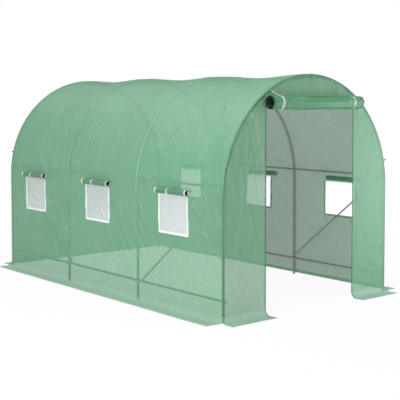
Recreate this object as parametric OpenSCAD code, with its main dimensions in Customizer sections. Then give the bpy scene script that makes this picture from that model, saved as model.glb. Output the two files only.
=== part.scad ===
// Walk-in polytunnel greenhouse: four bolted steel hoops, long rails and braces,
// and a sewn mesh cover with rolled window flaps, a rolled door and ground skirts.
// Frame: X across, Y from the door end to the back, Z up, origin mid-base.

/* [Frame] */
// Distance between the two legs of a hoop, centre to centre
span = 2000; // [1700:10:2600]
// Distance from the first hoop to the last, centre to centre
length = 3500; // [3000:10:6000]
// Height at which the legs begin to bend over
spring_h = 1015; // [980:5:1070]
// Outer diameter of the hoop tube
hoop_d = 25; // [22:1:32]
// Outer diameter of the long rails
rail_d = 19; // [16:1:22]
// Outer diameter of the diagonal braces
brace_d = 16; // [12:1:19]
// Height of the centre of the lower rails
low_rail_h = 170; // [140:5:230]
// Height of the centre of the upper rails
up_rail_h = 1095; // [1080:5:1130]
// Gap between round pieces that bear on each other
fit = 0.3; // [0.2:0.1:0.5]

/* [Hoop joints] */
// Height of the bolt that joins a leg to the arch
bolt_h = 1245; // [1220:5:1290]
// Length of the slim neck that slides into the arch
neck_l = 50; // [40:2:70]
// Wall of the socket at each end of the arch
socket_wall = 1.5; // [1:0.5:2.5]
// Diameter of the joint bolt
bolt_d = 6; // [5:1:8]
// Width of the bolt head across corners
head_d = 11; // [10:1:14]
// Thickness of the bolt head
head_t = 4; // [3:0.5:6]
// Diameter of the cap on the outer end of the bolt
cap_d = 11; // [10:1:14]
// Length of the cap on the outer end of the bolt
cap_l = 15; // [10:1:25]
// Thickness of the saddle that clips a rail to a hoop
saddle_t = 2.5; // [1.5:0.5:4]
// Width of the saddle along the hoop
saddle_w = 22; // [16:1:30]
// Thickness of the plug cap on a rail end
plug_t = 3; // [2:0.5:3.5]
// Thickness of the flattened end of a brace
tab_t = 4; // [3:0.5:6]
// Length of the flattened end of a brace
tab_l = 46; // [36:2:60]

/* [Cover] */
// Thickness of the cover
skin = 2; // [1.5:0.5:3]
// How far the roof sags between two hoops
sag = 25; // [0:1:40]
// Radius of the bend in which the cover flares into the skirt
flare_r = 58; // [30:2:70]
// Reach of the skirt along the sides, from the wall
skirt_w = 170; // [120:2:300]
// Reach of the skirt in front and behind, from the end panel
end_skirt_w = 147; // [120:1:300]
// How far the skirt of an end runs past the side walls
skirt_corner = 22; // [0:2:40]
// Gap between two sewn pieces of the cover
seam = 0.3; // [0.2:0.1:0.5]
// Height of the seam between wall and roof
roof_seam_h = 1180; // [1150:5:1195]

/* [Door] */
// Width of the doorway
door_w = 1080; // [900:10:1200]
// Distance from the crown of the roof down to the head of the doorway
door_drop = 260; // [250:5:340]
// Diameter of the rolled door flap
door_roll_d = 110; // [90:2:120]
// Length of the rolled door flap
door_roll_l = 1116; // [1000:4:1240]
// Distance from the crown of the roof down to the centre of the rolled door flap
door_roll_drop = 246; // [210:2:260]
// Distance between two layers of the rolled door flap
door_roll_layer = 9; // [7:0.5:11]
// Turns of the rolled door flap
door_roll_turns = 4; // [3:1:5]
// Width of the hem along each side of the doorway
hem_w = 16; // [10:1:25]
// Thickness of a hem, tie or border
hem_t = 2; // [1.5:0.5:3]
// Distance of the door ties from the middle of the doorway
door_tie_x = 440; // [300:10:480]
// Length of the strap of a door tie above the middle of the roll
strap_l = 85; // [75:5:110]
// Length of the loose tail of a door tie
tail_l = 55; // [30:5:90]

/* [Windows] */
// Clear width of a window
win_w = 370; // [300:5:400]
// Height of the foot of a window
win_low = 670; // [590:5:730]
// Height of the head of a window
win_high = 995; // [930:5:1000]
// Width of the border round a window
border_w = 20; // [12:1:25]
// Offset of the left windows from the middle of a bay
left_win_shift = 55; // [-60:1:60]
// Offset of the right windows from the middle of a bay
right_win_shift = -25; // [-60:1:60]
// Diameter of a rolled window flap
win_roll_d = 54; // [40:2:60]
// Length of a rolled window flap
win_roll_l = 420; // [400:5:480]
// How far a rolled window flap sits towards the door end
win_roll_shift = 20; // [0:2:30]
// How far the tie of a rolled window flap sits towards the back
win_tie_shift = 20; // [-40:2:40]
// Height of the centre of a rolled window flap
win_roll_h = 1025; // [1020:1:1045]
// Distance between two layers of a rolled window flap
win_roll_layer = 6; // [5:0.5:7]
// Turns of a rolled window flap
win_roll_turns = 3; // [2:1:3]
// Thickness of the window net
net_t = 1; // [0.8:0.1:2]
// How far the net laps behind the wall
net_lap = 12; // [8:1:18]
// Width of the tie round a rolled flap
tie_w = 18; // [12:1:30]

/* [Hidden] */
$fn = 48;
bays = 3;
bay = length / bays;
y0 = -length / 2;
y1 = length / 2;
hoop_ys = [for (i = [0:bays]) y0 + i * bay];
arch_r = span / 2;
hoop_r = hoop_d / 2;
rail_ring = arch_r - hoop_r - fit - rail_d / 2;
low_rail_x = rail_ring;
up_rail_a = asin((up_rail_h - spring_h) / rail_ring);
up_rail_x = rail_ring * cos(up_rail_a);

bolt_a = asin((bolt_h - spring_h) / arch_r);
neck_a = neck_l / arch_r * 180 / PI;
seam_a = bolt_a - neck_a / 2;
joint_gap_a = fit / arch_r * 180 / PI;
socket_d = hoop_d - 2 * socket_wall;
neck_d = socket_d - 2 * fit;
bolt_hole_d = bolt_d + 2 * fit;
bolt_x = arch_r * cos(bolt_a);

skin_in = arch_r + hoop_r + fit;
skin_out = skin_in + skin;
end_in = hoop_r + fit;
end_out = end_in + skin;
wall_foot = flare_r + skin;
roof_a = asin((roof_seam_h - spring_h) / skin_in);
panel_r = skin_in - seam;
cap_start = end_out * sqrt(2) + fit;

crown_h = spring_h + skin_out;
door_top = crown_h - door_drop;
door_roll_h = crown_h - door_roll_drop;
door_roll_y = y0 - end_out - fit - hem_t - fit - door_roll_d / 2;
win_roll_x = skin_out + fit + hem_t + fit + win_roll_d / 2;

// Steps of the roof mesh across one bay and over the arch
bay_steps = 10;
arch_steps = 30;
// Angle over which the sag of the roof grows from nothing
sag_rise = 32;
// Steps of a rolled flap in one turn, and the share of a layer that is cloth
turn_steps = 24;
layer_share = 0.7;

steel = [0.62, 0.64, 0.64];
green = [0.45, 0.66, 0.54];
roll_green = [0.36, 0.60, 0.48];
white = [0.93, 0.96, 0.94];
net_grey = [0.80, 0.82, 0.82];
black = [0.10, 0.12, 0.11];

// Mirrors its children for the left side of the tunnel
module on_side(side) {
  mirror([side < 0 ? 1 : 0, 0, 0]) children();
}

// Places its children on the arch, tangent up, at an angle from the springing
module on_arch(a, r) {
  translate([0, 0, spring_h]) rotate([0, -a, 0]) translate([r, 0, 0]) children();
}

// Bent round bar along the arch from one angle to another
module arc_bar(d, from, to) {
  translate([0, 0, spring_h]) rotate([90, 0, 0]) rotate([0, 0, from])
    rotate_extrude(angle = to - from) translate([arch_r, 0]) circle(d = d);
}

// Direction of the bolt through the joint of a hoop, in degrees from +X
function bolt_turn(i) = i == 0 ? -45 : i == bays ? 45 : 90;

// Hole for the joint bolt of hoop i, on the right side
module bolt_hole(i, d) {
  translate([bolt_x, 0, bolt_h]) rotate([0, 0, bolt_turn(i)]) rotate([0, 90, 0])
    cylinder(d = d, h = 4 * hoop_d, center = true);
}

// One leg: straight tube, first bend and the neck that enters the arch
module leg(side, i) {
  color(steel) translate([0, hoop_ys[i], 0]) on_side(side) difference() {
    union() {
      translate([arch_r, 0, 0]) cylinder(d = hoop_d, h = spring_h);
      arc_bar(hoop_d, 0, seam_a);
      arc_bar(neck_d, seam_a - neck_a / 4, seam_a + neck_a);
    }
    bolt_hole(i, bolt_hole_d);
  }
}

// Arch of hoop i with a socket at each end
module arch(i) {
  color(steel) translate([0, hoop_ys[i], 0]) difference() {
    arc_bar(hoop_d, seam_a + joint_gap_a, 180 - seam_a - joint_gap_a);
    for (side = [-1, 1]) on_side(side) {
      arc_bar(socket_d, seam_a - neck_a / 4, seam_a + neck_a + 2 * joint_gap_a);
      bolt_hole(i, bolt_hole_d);
    }
  }
}

// Bolt of one joint: head inside, shank through, cap or nut outside
module joint_bolt(side, i) {
  corner = i == 0 || i == bays;
  inner = hoop_r + fit;
  out = corner ? cap_start : inner;
  out_l = corner ? cap_l : head_t;
  translate([0, hoop_ys[i], 0]) on_side(side)
    translate([bolt_x, 0, bolt_h]) rotate([0, 0, bolt_turn(i)]) rotate([0, 90, 0]) {
      translate([0, 0, -inner - head_t]) cylinder(d = head_d, h = head_t, $fn = 6);
      translate([0, 0, -inner - head_t / 2])
        cylinder(d = bolt_d, h = inner + head_t / 2 + out + out_l / 2);
      if (corner) {
        translate([0, 0, out]) cylinder(d = cap_d, h = out_l - cap_d / 2);
        translate([0, 0, out + out_l - cap_d / 2]) sphere(d = cap_d);
      } else {
        translate([0, 0, out]) cylinder(d = head_d, h = out_l, $fn = 6);
      }
    }
}

module corner_bolts() {
  color(black) for (side = [-1, 1], i = [0, bays]) joint_bolt(side, i);
}

module inner_bolts() {
  color(steel) for (side = [-1, 1], i = [1:bays - 1]) joint_bolt(side, i);
}

// Saddle that wraps the inner half of hoop i; half of it on the end hoops
module saddle(i) {
  start = i == bays ? 180 : 90;
  sweep = i == 0 || i == bays ? 90 : 180;
  rotate([0, 0, start]) rotate_extrude(angle = sweep)
    translate([hoop_r + fit, -saddle_w / 2]) square([saddle_t, saddle_w]);
}

// Rail at an angle on the arch (0 on the straight legs) with its saddles
module rail(a, h) {
  drop = a > 0 ? 0 : h - spring_h;
  end = hoop_r - plug_t;
  translate([0, 0, drop]) on_arch(a, rail_ring)
    translate([0, y0 - end, 0]) rotate([-90, 0, 0]) cylinder(d = rail_d, h = length + 2 * end);
  for (i = [0:bays]) translate([0, hoop_ys[i], drop]) on_arch(a, arch_r) saddle(i);
}

// Plug caps on both ends of a rail
module rail_plugs(a, h) {
  drop = a > 0 ? 0 : h - spring_h;
  end = length / 2 + hoop_r - plug_t;
  translate([0, 0, drop]) on_arch(a, rail_ring)
    for (s = [-1, 1]) rotate([-90 * s, 0, 0]) translate([0, 0, end]) cylinder(d = rail_d + 1, h = plug_t);
}

module side_upper_rail(side) {
  color(steel) on_side(side) rail(up_rail_a, up_rail_h);
}

module side_lower_rail(side) {
  color(steel) on_side(side) rail(0, low_rail_h);
}

module ridge_rail() {
  color(steel) rail(90, 0);
}

module rail_end_plugs() {
  color(black) {
    rail_plugs(90, 0);
    for (side = [-1, 1]) on_side(side) {
      rail_plugs(up_rail_a, up_rail_h);
      rail_plugs(0, low_rail_h);
    }
  }
}

// Diagonal brace from the lower rail at hoop i up to the upper rail at hoop j
module brace(i, j) {
  inset = rail_d / 2 + fit + brace_d / 2;
  foot = [low_rail_x - inset, hoop_ys[i], low_rail_h];
  head = [up_rail_x - inset, hoop_ys[j], up_rail_h];
  run = head - foot;
  len = norm(run);
  tilt = acos(run[2] / len);
  turn = atan2(run[1], run[0]);
  bare_l = tab_l * 0.6;
  translate(foot) rotate([0, 0, turn]) rotate([0, tilt, 0]) rotate([0, 0, -turn]) {
    translate([0, 0, bare_l]) cylinder(d = brace_d, h = len - 2 * bare_l);
    for (z = [0, len]) {
      flip = z > 0 ? 180 : 0;
      translate([brace_d / 2 - tab_t, 0, z]) rotate([flip, 0, 0])
        translate([0, -brace_d / 2, -brace_d / 2]) cube([tab_t, brace_d, tab_l + brace_d / 2]);
    }
  }
}

module braces(side) {
  color(steel) on_side(side) {
    brace(1, 0);
    brace(bays - 1, bays);
  }
}

// Centre of the window in bay k along Y
function window_y(k, shift) = y0 + (k + 0.5) * bay + shift;

// Side wall: flat up to the springing, then curved to the roof seam
module wall_cover(side, shift) {
  color(green) on_side(side) difference() {
    union() {
      translate([skin_in, y0 - end_out, wall_foot])
        cube([skin, length + 2 * end_out, spring_h - wall_foot]);
      translate([0, y1 + end_out, spring_h]) rotate([90, 0, 0])
        linear_extrude(length + 2 * end_out) intersection() {
          difference() {
            circle(r = skin_out, $fn = 180);
            circle(r = skin_in, $fn = 180);
          }
          polygon([[0, 0], [2 * skin_out, 0], 2 * skin_out * [cos(roof_a), sin(roof_a)]]);
        }
    }
    for (k = [0:bays - 1]) translate([skin_in - skin, window_y(k, shift) - win_w / 2, win_low])
      cube([3 * skin, win_w, win_high - win_low]);
  }
}

// Depth of the sag of the roof at angle a and distance y from the first hoop
function sag_side(a) = min(1, max(0, (min(a, 180 - a) - roof_a) / sag_rise));
function sag_at(a, y) = sag * pow(sin(180 * y / bay), 2) * pow(sin(90 * sag_side(a)), 2);
function within_bays(y) = min(max(y, 0), length);
function roof_r(a, y, r) = r - sag_at(a, within_bays(y));
function roof_point(a, y, r) =
  [roof_r(a, y, r) * cos(a), y0 + y, spring_h + roof_r(a, y, r) * sin(a)];

// Roof: a sewn sheet pulled over the hoops, sagging in each bay
module roof_cover() {
  first_a = roof_a + seam / skin_in * 180 / PI;
  step_a = (180 - 2 * first_a) / arch_steps;
  bow = 1 / cos(step_a / 2);
  ys = concat([-end_out], [for (j = [0:bays * bay_steps]) j * bay / bay_steps], [length + end_out]);
  angles = [for (c = [0:arch_steps]) first_a + c * step_a];
  rows = len(ys);
  cols = len(angles);
  outer = [for (y = ys, a = angles) roof_point(a, y, skin_out * bow)];
  inner = [for (y = ys, a = angles) roof_point(a, y, skin_in * bow)];
  n = rows * cols;
  last = n - cols;
  sheet = [for (j = [0:rows - 2], c = [0:cols - 2]) let (k = j * cols + c)
    [k, k + 1, k + cols + 1, k + cols]];
  top = [for (q = sheet) [q[0], q[1], q[2]]];
  top2 = [for (q = sheet) [q[0], q[2], q[3]]];
  low = [for (q = sheet) [n + q[2], n + q[1], n + q[0]]];
  low2 = [for (q = sheet) [n + q[3], n + q[2], n + q[0]]];
  front = [for (c = [0:cols - 2]) [c + 1, c, n + c, n + c + 1]];
  back = [for (c = [last:n - 2]) [c, c + 1, n + c + 1, n + c]];
  right = [for (j = [0:rows - 2]) let (k = j * cols) [k, k + cols, n + k + cols, n + k]];
  left = [for (j = [0:rows - 2]) let (k = j * cols + cols - 1) [k + cols, k, n + k, n + k + cols]];
  color(green) difference() {
    polyhedron(concat(outer, inner), concat(top, top2, low, low2, front, back, right, left));
    for (side = [-1, 1], i = [0, bays]) translate([0, hoop_ys[i], 0]) on_side(side)
      bolt_hole(i, cap_d + 2 * fit);
  }
}

// Outline of an end of the tunnel, from the flare up to the crown
module end_outline() {
  translate([0, spring_h]) intersection() {
    circle(r = panel_r, $fn = 180);
    translate([-panel_r, 0]) square([2 * panel_r, panel_r]);
  }
  translate([-panel_r, wall_foot]) square([2 * panel_r, spring_h - wall_foot]);
}

// Flat end panel with its outer face towards the outside of the end
module end_sheet(back) {
  y = back ? y1 + end_in : y0 - end_out;
  i = back ? bays : 0;
  color(green) difference() {
    translate([0, y + skin, 0]) rotate([90, 0, 0]) linear_extrude(skin) intersection() {
      end_outline();
      children();
    }
    for (side = [-1, 1]) translate([0, hoop_ys[i], 0]) on_side(side) bolt_hole(i, cap_d + 2 * fit);
  }
}

module front_side_panel(side) {
  on_side(side) end_sheet(false) translate([door_w / 2, 0]) square([span, 2 * span]);
}

module front_top_panel() {
  end_sheet(false) translate([-door_w / 2 + seam, door_top])
    square([door_w - 2 * seam, span]);
}

module back_panel() {
  end_sheet(true) translate([-span, 0]) square([2 * span, 2 * span]);
}

// Section of a skirt: hollow flare at the wall and a strip along the ground
module skirt_section(reach) {
  translate([flare_r + skin, flare_r + skin - seam]) intersection() {
    difference() {
      circle(r = flare_r + skin, $fn = 96);
      circle(r = flare_r, $fn = 96);
    }
    translate([-flare_r - skin, -flare_r - skin]) square(flare_r + skin);
  }
  translate([flare_r + skin, -seam]) square([reach - flare_r - skin, skin]);
}

// Straight length of skirt, raised by the seam so that it rests on the ground
module skirt_run(reach, from, to) {
  translate([0, to, seam]) rotate([90, 0, 0]) linear_extrude(to - from) skirt_section(reach);
}

// Skirt along one side, up to the planes of the end panels
module side_skirt(side) {
  far = y1 + end_in - seam;
  color(green) on_side(side) translate([skin_in, 0, 0]) skirt_run(skin + skirt_w, -far, far);
}

// Skirt across the front, between two places along X
module end_skirt(from, to) {
  translate([0, y0 - end_in, 0]) rotate([0, 0, -90]) skirt_run(skin + end_skirt_w, from, to);
}

module front_skirt(side) {
  color(green) on_side(side) end_skirt(door_w / 2, skin_out + skirt_corner);
}

module back_skirt() {
  far = skin_out + skirt_corner;
  color(green) mirror([0, 1, 0]) end_skirt(-far, far);
}

// Hem and zip tape along both sides of the doorway
module door_hems() {
  color(green) for (side = [-1, 1]) on_side(side)
    translate([door_w / 2, y0 - end_out - hem_t, wall_foot])
      cube([hem_w, hem_t, door_roll_h - door_roll_d / 2 - wall_foot - hem_t - 2 * fit]);
}

// Spiral line: n turns from radius r_in to radius r_out
function spiral(n, r_in, r_out, steps) =
  [for (k = [0:steps]) let (a = 360 * n * k / steps, r = r_in + (r_out - r_in) * k / steps)
    [r * cos(a), r * sin(a)]];

// Spiral band of thickness t inside that line
module spiral_band(n, r_in, r_out, t) {
  steps = ceil(n * turn_steps);
  edge = spiral(n, r_in, r_out, steps);
  back = spiral(n, r_in - t, r_out - t, steps);
  polygon(concat(edge, [for (k = [0:steps]) back[steps - k]]));
}

// Rolled flap seen from its end: spiral layers round an open core
module rolled_flap(d, l, turns, layer) {
  translate([0, 0, -l / 2]) linear_extrude(l)
    spiral_band(turns, d / 2 - turns * layer, d / 2, layer * layer_share);
}

module door_roll() {
  color(roll_green) translate([0, door_roll_y, door_roll_h]) rotate([0, 90, 0])
    rotate([0, 0, 90]) rolled_flap(door_roll_d, door_roll_l, door_roll_turns, door_roll_layer);
}

// Ribbon round a roll, as a ring just clear of it
module tie_ring(d) {
  rotate([90, 0, 0]) linear_extrude(tie_w, center = true) difference() {
    circle(d = d + 2 * fit + 2 * hem_t);
    circle(d = d + 2 * fit);
  }
}

module door_ties() {
  ring_r = door_roll_d / 2 + fit + hem_t;
  tail_foot = door_roll_h - tail_l;
  color(white) for (x = [-door_tie_x, door_tie_x]) translate([x, 0, 0]) {
    translate([0, door_roll_y, door_roll_h]) rotate([0, 0, 90]) tie_ring(door_roll_d);
    translate([-tie_w / 2, y0 - end_out - fit - hem_t, door_roll_h]) cube([tie_w, hem_t, strap_l]);
    translate([-tie_w / 2, door_roll_y - ring_r, tail_foot]) cube([tie_w, hem_t, tail_l]);
  }
}

module window_nets(side, shift) {
  color(net_grey) on_side(side) for (k = [0:bays - 1])
    translate([skin_in - seam - net_t, window_y(k, shift) - win_w / 2 - net_lap, win_low - net_lap])
      cube([net_t, win_w + 2 * net_lap, win_high - win_low + 2 * net_lap]);
}

// Border on three sides of each window; the rolled flap hides the fourth
module window_borders(side, shift) {
  color(white) on_side(side) for (k = [0:bays - 1])
    translate([skin_out, window_y(k, shift), 0]) difference() {
      translate([0, -win_w / 2 - border_w, win_low - border_w])
        cube([hem_t, win_w + 2 * border_w, win_high - win_low + border_w]);
      translate([-hem_t, -win_w / 2, win_low]) cube([3 * hem_t, win_w, win_high]);
    }
}

module window_rolls(side, shift) {
  color(roll_green) on_side(side) for (k = [0:bays - 1])
    translate([win_roll_x, window_y(k, shift) - win_roll_shift, win_roll_h]) rotate([90, 0, 0])
      rotate([0, 0, 90]) rolled_flap(win_roll_d, win_roll_l, win_roll_turns, win_roll_layer);
}

module window_ties() {
  color(white) for (side = [-1, 1], k = [0:bays - 1]) {
    shift = (side < 0 ? left_win_shift : right_win_shift) + win_tie_shift;
    on_side(side) translate([win_roll_x, window_y(k, shift), win_roll_h]) tie_ring(win_roll_d);
  }
}

leg(-1, 0);  // front_left_leg
leg(1, 0);  // front_right_leg
arch(0);  // front_arch
leg(-1, 1);  // second_left_leg
leg(1, 1);  // second_right_leg
arch(1);  // second_arch
leg(-1, 2);  // third_left_leg
leg(1, 2);  // third_right_leg
arch(2);  // third_arch
leg(-1, 3);  // back_left_leg
leg(1, 3);  // back_right_leg
arch(3);  // back_arch
ridge_rail();
side_upper_rail(-1);  // left_upper_rail
side_upper_rail(1);  // right_upper_rail
side_lower_rail(-1);  // left_lower_rail
side_lower_rail(1);  // right_lower_rail
rail_end_plugs();
braces(-1);  // left_braces
braces(1);  // right_braces
corner_bolts();
inner_bolts();
wall_cover(-1, left_win_shift);  // left_wall_cover
wall_cover(1, right_win_shift);  // right_wall_cover
roof_cover();
front_side_panel(-1);  // front_left_panel
front_side_panel(1);  // front_right_panel
front_top_panel();
back_panel();
side_skirt(-1);  // left_skirt
side_skirt(1);  // right_skirt
front_skirt(-1);  // front_left_skirt
front_skirt(1);  // front_right_skirt
back_skirt();
door_hems();
door_roll();
door_ties();
window_nets(-1, left_win_shift);  // left_window_nets
window_nets(1, right_win_shift);  // right_window_nets
window_borders(-1, left_win_shift);  // left_window_borders
window_borders(1, right_win_shift);  // right_window_borders
window_rolls(-1, left_win_shift);  // left_window_rolls
window_rolls(1, right_win_shift);  // right_window_rolls
window_ties();
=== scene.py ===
"""Walk-in polytunnel greenhouse: cover, flaps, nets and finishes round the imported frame."""

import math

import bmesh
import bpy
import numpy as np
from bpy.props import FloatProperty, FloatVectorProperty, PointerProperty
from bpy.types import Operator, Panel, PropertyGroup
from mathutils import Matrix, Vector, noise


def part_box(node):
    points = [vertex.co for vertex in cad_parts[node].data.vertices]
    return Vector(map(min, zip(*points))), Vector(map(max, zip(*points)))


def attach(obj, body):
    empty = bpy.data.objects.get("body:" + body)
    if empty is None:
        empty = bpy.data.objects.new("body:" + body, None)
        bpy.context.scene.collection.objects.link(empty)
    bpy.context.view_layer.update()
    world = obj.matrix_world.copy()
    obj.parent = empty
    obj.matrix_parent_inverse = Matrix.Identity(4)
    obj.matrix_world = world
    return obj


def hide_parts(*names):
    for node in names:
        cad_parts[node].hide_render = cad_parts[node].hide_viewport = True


bl_info = {
    "name": "Walk-in polytunnel",
    "version": (1, 0, 0),
    "blender": (4, 5, 0),
    "location": "View3D > Sidebar > Polytunnel",
    "description": "Cover, flaps, nets and finishes of a walk-in polytunnel greenhouse",
    "category": "Add Mesh",
}

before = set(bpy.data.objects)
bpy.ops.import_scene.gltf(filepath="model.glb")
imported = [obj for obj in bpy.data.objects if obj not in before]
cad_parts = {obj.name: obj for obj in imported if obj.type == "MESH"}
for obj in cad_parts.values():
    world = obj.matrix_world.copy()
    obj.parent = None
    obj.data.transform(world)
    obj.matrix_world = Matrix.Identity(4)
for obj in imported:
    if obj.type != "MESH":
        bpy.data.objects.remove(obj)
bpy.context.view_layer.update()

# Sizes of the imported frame, in metres
HOOPS = ["front", "second", "third", "back"]
SIDES = {"left": -1, "right": 1}


def corners(node):
    """Lowest and highest corner of a node of the frame."""
    low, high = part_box(node)
    return np.array(low), np.array(high)


def middle(node, axis):
    """Middle of a node of the frame along one axis."""
    low, high = corners(node)
    return float(low[axis] + high[axis]) / 2


def extent(node, axis):
    """Size of a node of the frame along one axis."""
    low, high = corners(node)
    return float(high[axis] - low[axis])


TUBE_R = extent("front_left_leg", 1) / 2
ARCH_R = float(-corners("front_left_leg")[0][0]) - TUBE_R
SPRING_Z = float(corners("front_arch")[1][2]) - ARCH_R - TUBE_R
HOOP_YS = [middle(name + "_arch", 1) for name in HOOPS]
BAY = HOOP_YS[1] - HOOP_YS[0]
HALF_L = HOOP_YS[-1]
RAIL_R = (extent("left_lower_rail", 2) - 0.003) / 2

FILM = extent("front_top_panel", 1)
WALL_X = float(corners("right_wall_cover")[1][0])
WALL_FOOT = float(corners("right_wall_cover")[0][2])
SKIN_R = WALL_X - FILM / 2
EDGE_R = SKIN_R - ARCH_R
FLARE_R = WALL_FOOT - FILM / 2
SKIRT_X = float(corners("right_skirt")[1][0])
CORNER = float(corners("front_right_skirt")[1][0]) - WALL_X
CORNER_BEND = math.acos(1 - CORNER / FLARE_R) * FLARE_R
END_REACH = float(corners("back_skirt")[1][1]) - HALF_L - EDGE_R

DOOR_X = float(corners("front_right_panel")[0][0])
DOOR_Z = float(corners("front_top_panel")[0][2])
# The roll of the frame is a spiral, so its box is a little less than its full round
DOOR_ROLL_R = extent("door_roll", 1) / 2 + 0.0055
DOOR_ROLL_L = extent("door_roll", 0)
DOOR_ROLL_Y = float(corners("door_roll")[1][1]) - DOOR_ROLL_R
DOOR_ROLL_Z = middle("door_roll", 2)

WIN_HIGH = float(corners("left_window_borders")[1][2])
WIN_ROLL_R = extent("left_window_rolls", 2) / 2 + 0.001
WIN_ROLL_L = extent("left_window_rolls", 1) - 2 * BAY
WIN_ROLL_X = float(corners("right_window_rolls")[0][0]) + WIN_ROLL_R
WIN_ROLL_Z = middle("right_window_rolls", 2)
# How far the rolls of each side sit from the middles of their windows, and their ties
WIN_ROLL_SLIP = {
    side: middle(name + "_window_rolls", 1) - middle(name + "_window_borders", 1)
    for name, side in SIDES.items()}
WIN_TIE_SLIP = {side: -slip for side, slip in WIN_ROLL_SLIP.items()}


def srgb(code):
    """Linear colour of an sRGB hex code."""
    parts = [int(code[k:k + 2], 16) / 255 for k in (1, 3, 5)]
    return [p / 12.92 if p <= 0.04045 else ((p + 0.055) / 1.055) ** 2.4 for p in parts]


def size_prop(name, description, default):
    """A length in metres that a user may change."""
    return FloatProperty(name=name, description=description, default=default, unit="LENGTH", precision=4)


def share_prop(name, description, default):
    """A share from 0 to 1 that a user may change."""
    return FloatProperty(name=name, description=description, default=default, min=0, max=1, subtype="FACTOR")


def colour_prop(name, description, code):
    """A colour that a user may change."""
    return FloatVectorProperty(
        name=name, description=description, default=srgb(code), size=3, min=0, max=1, subtype="COLOR"
    )


class TunnelCover(PropertyGroup):
    film: colour_prop("Film", "Colour of the woven green film", "#6EAD89")
    film_light: colour_prop("Film against light", "Colour of the light through the film", "#79B390")
    see_through: share_prop("See-through", "Share of what lies behind that shows through the film", 0.19)
    glow: share_prop("Glow", "Share of the film's light that comes from its other side", 0.07)
    thread_pitch: size_prop("Thread pitch", "Distance between the reinforcing threads as drawn", 0.012)
    sag: size_prop("Roof sag", "How far the roof sags between two hoops", 0.025)
    sag_rise: FloatProperty(
        name="Sag rise", description="Angle over which the sag grows from the roof seam",
        default=math.radians(32), subtype="ANGLE")
    seam_z: size_prop("Roof seam height", "Height at which the sag of the roof begins", 1.18)
    slack: size_prop("Wall slack", "How far the walls draw in between two hoops", 0.005)
    ridge: size_prop("Hoop ridge", "How far a hoop's tube stands out under the film", 0.0045)
    valley: size_prop("Hoop valley", "Depth of the slack fold behind each hoop", 0.0045)
    crease: size_prop("Crease depth", "Depth of the slanting folds in the walls", 0.017)
    ripple: size_prop("Skirt ripple", "Height of the ripples along the skirt", 0.006)
    hem_w: size_prop("Hem width", "Width of the doubled hem along the end hoops", 0.013)
    step: size_prop("Mesh step", "Distance between points of the cover's mesh", 0.0135)


class TunnelDoor(PropertyGroup):
    hem_w: size_prop("Edge tape width", "Width of the tape along each side of the doorway", 0.012)
    layer: size_prop("Roll layer", "Distance between two layers of the rolled flap", 0.0031)
    turns: FloatProperty(name="Turns", description="Turns of the rolled door flap", default=5.6)
    tie_w: size_prop("Tie width", "Width of the ribbon that ties up the flap", 0.012)
    zip_pitch: size_prop("Zip pitch", "Distance between two teeth of the zip", 0.004)


class TunnelWindows(PropertyGroup):
    border_w: size_prop("Border width", "Width of the white tape round a window", 0.02)
    border_t: size_prop("Border thickness", "How far the tape stands off the wall", 0.0018)
    net_lap: size_prop("Net lap", "How far the net reaches behind the wall", 0.012)
    net_see: share_prop("Net openness", "Share of what lies behind that shows through the net", 0.5)
    layer: size_prop("Roll layer", "Distance between two layers of a rolled flap", 0.0028)
    turns: FloatProperty(name="Turns", description="Turns of a rolled window flap", default=2.4)
    tie_w: size_prop("Tie width", "Width of the ribbon round a rolled flap", 0.011)
    stitch: size_prop("Stitch pitch", "Distance between two stitches", 0.006)


class TunnelFrame(PropertyGroup):
    zinc: colour_prop("Zinc", "Colour of the galvanised tubes", "#A3A1A9")
    cap: colour_prop("Caps", "Colour of the moulded caps and plugs", "#1D221F")
    screw_d: size_prop("Screw head", "Width of the screw heads that hold the rails", 0.009)


class TunnelStage(PropertyGroup):
    lens: FloatProperty(name="Lens", description="Focal length of the camera in millimetres", default=82.97)
    shift_x: FloatProperty(name="Shift X", description="Sideways shift of the camera", default=-0.0004)
    shift_y: FloatProperty(name="Shift Y", description="Upward shift of the camera", default=-0.125)
    place: FloatVectorProperty(
        name="Camera place", description="Where the camera stands",
        default=(-5.8445, -7.2927, 1.7766), subtype="TRANSLATION")
    turn: FloatProperty(
        name="Camera turn", description="Turn of the camera from the tunnel's length",
        default=0.6931, subtype="ANGLE")
    dip: FloatProperty(
        name="Camera dip", description="Slope of the camera below the horizon",
        default=0.051, subtype="ANGLE")
    world: FloatProperty(name="World light", description="Strength of the light from all round", default=0.5)


GROUPS = {
    "tunnel_cover": TunnelCover,
    "tunnel_door": TunnelDoor,
    "tunnel_windows": TunnelWindows,
    "tunnel_frame": TunnelFrame,
    "tunnel_stage": TunnelStage,
}


# Small helpers for shapes

def ease(t):
    """Soft step from 0 to 1."""
    t = min(1.0, max(0.0, t))
    return t * t * (3 - 2 * t)


def bell(t):
    """Bell curve of height 1 and width 1."""
    return math.exp(-t * t)


def stations(marks, step):
    """Rising positions through all marks, no further apart than step."""
    marks = sorted(set(round(m, 6) for m in marks))
    found = [marks[0]]
    for a, b in zip(marks, marks[1:]):
        n = max(1, math.ceil((b - a) / step - 1e-6))
        found += [a + (b - a) * k / n for k in range(1, n + 1)]
    return found


def rough(x, y, seed):
    """Smooth noise from -1 to 1 in two directions."""
    return noise.noise(Vector((x, y, seed * 7.31)))


def folds(along, across, seed):
    """Sharp-backed folds that run in the first direction, from 0 to 1."""
    n = rough(along, across, seed) + 0.35 * rough(along * 1.7, across * 2.3, seed + 3)
    return (1 - min(1.0, abs(n) * 2.4)) ** 2


def collection():
    """The scene's own collection of pieces."""
    return bpy.context.scene.collection


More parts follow.
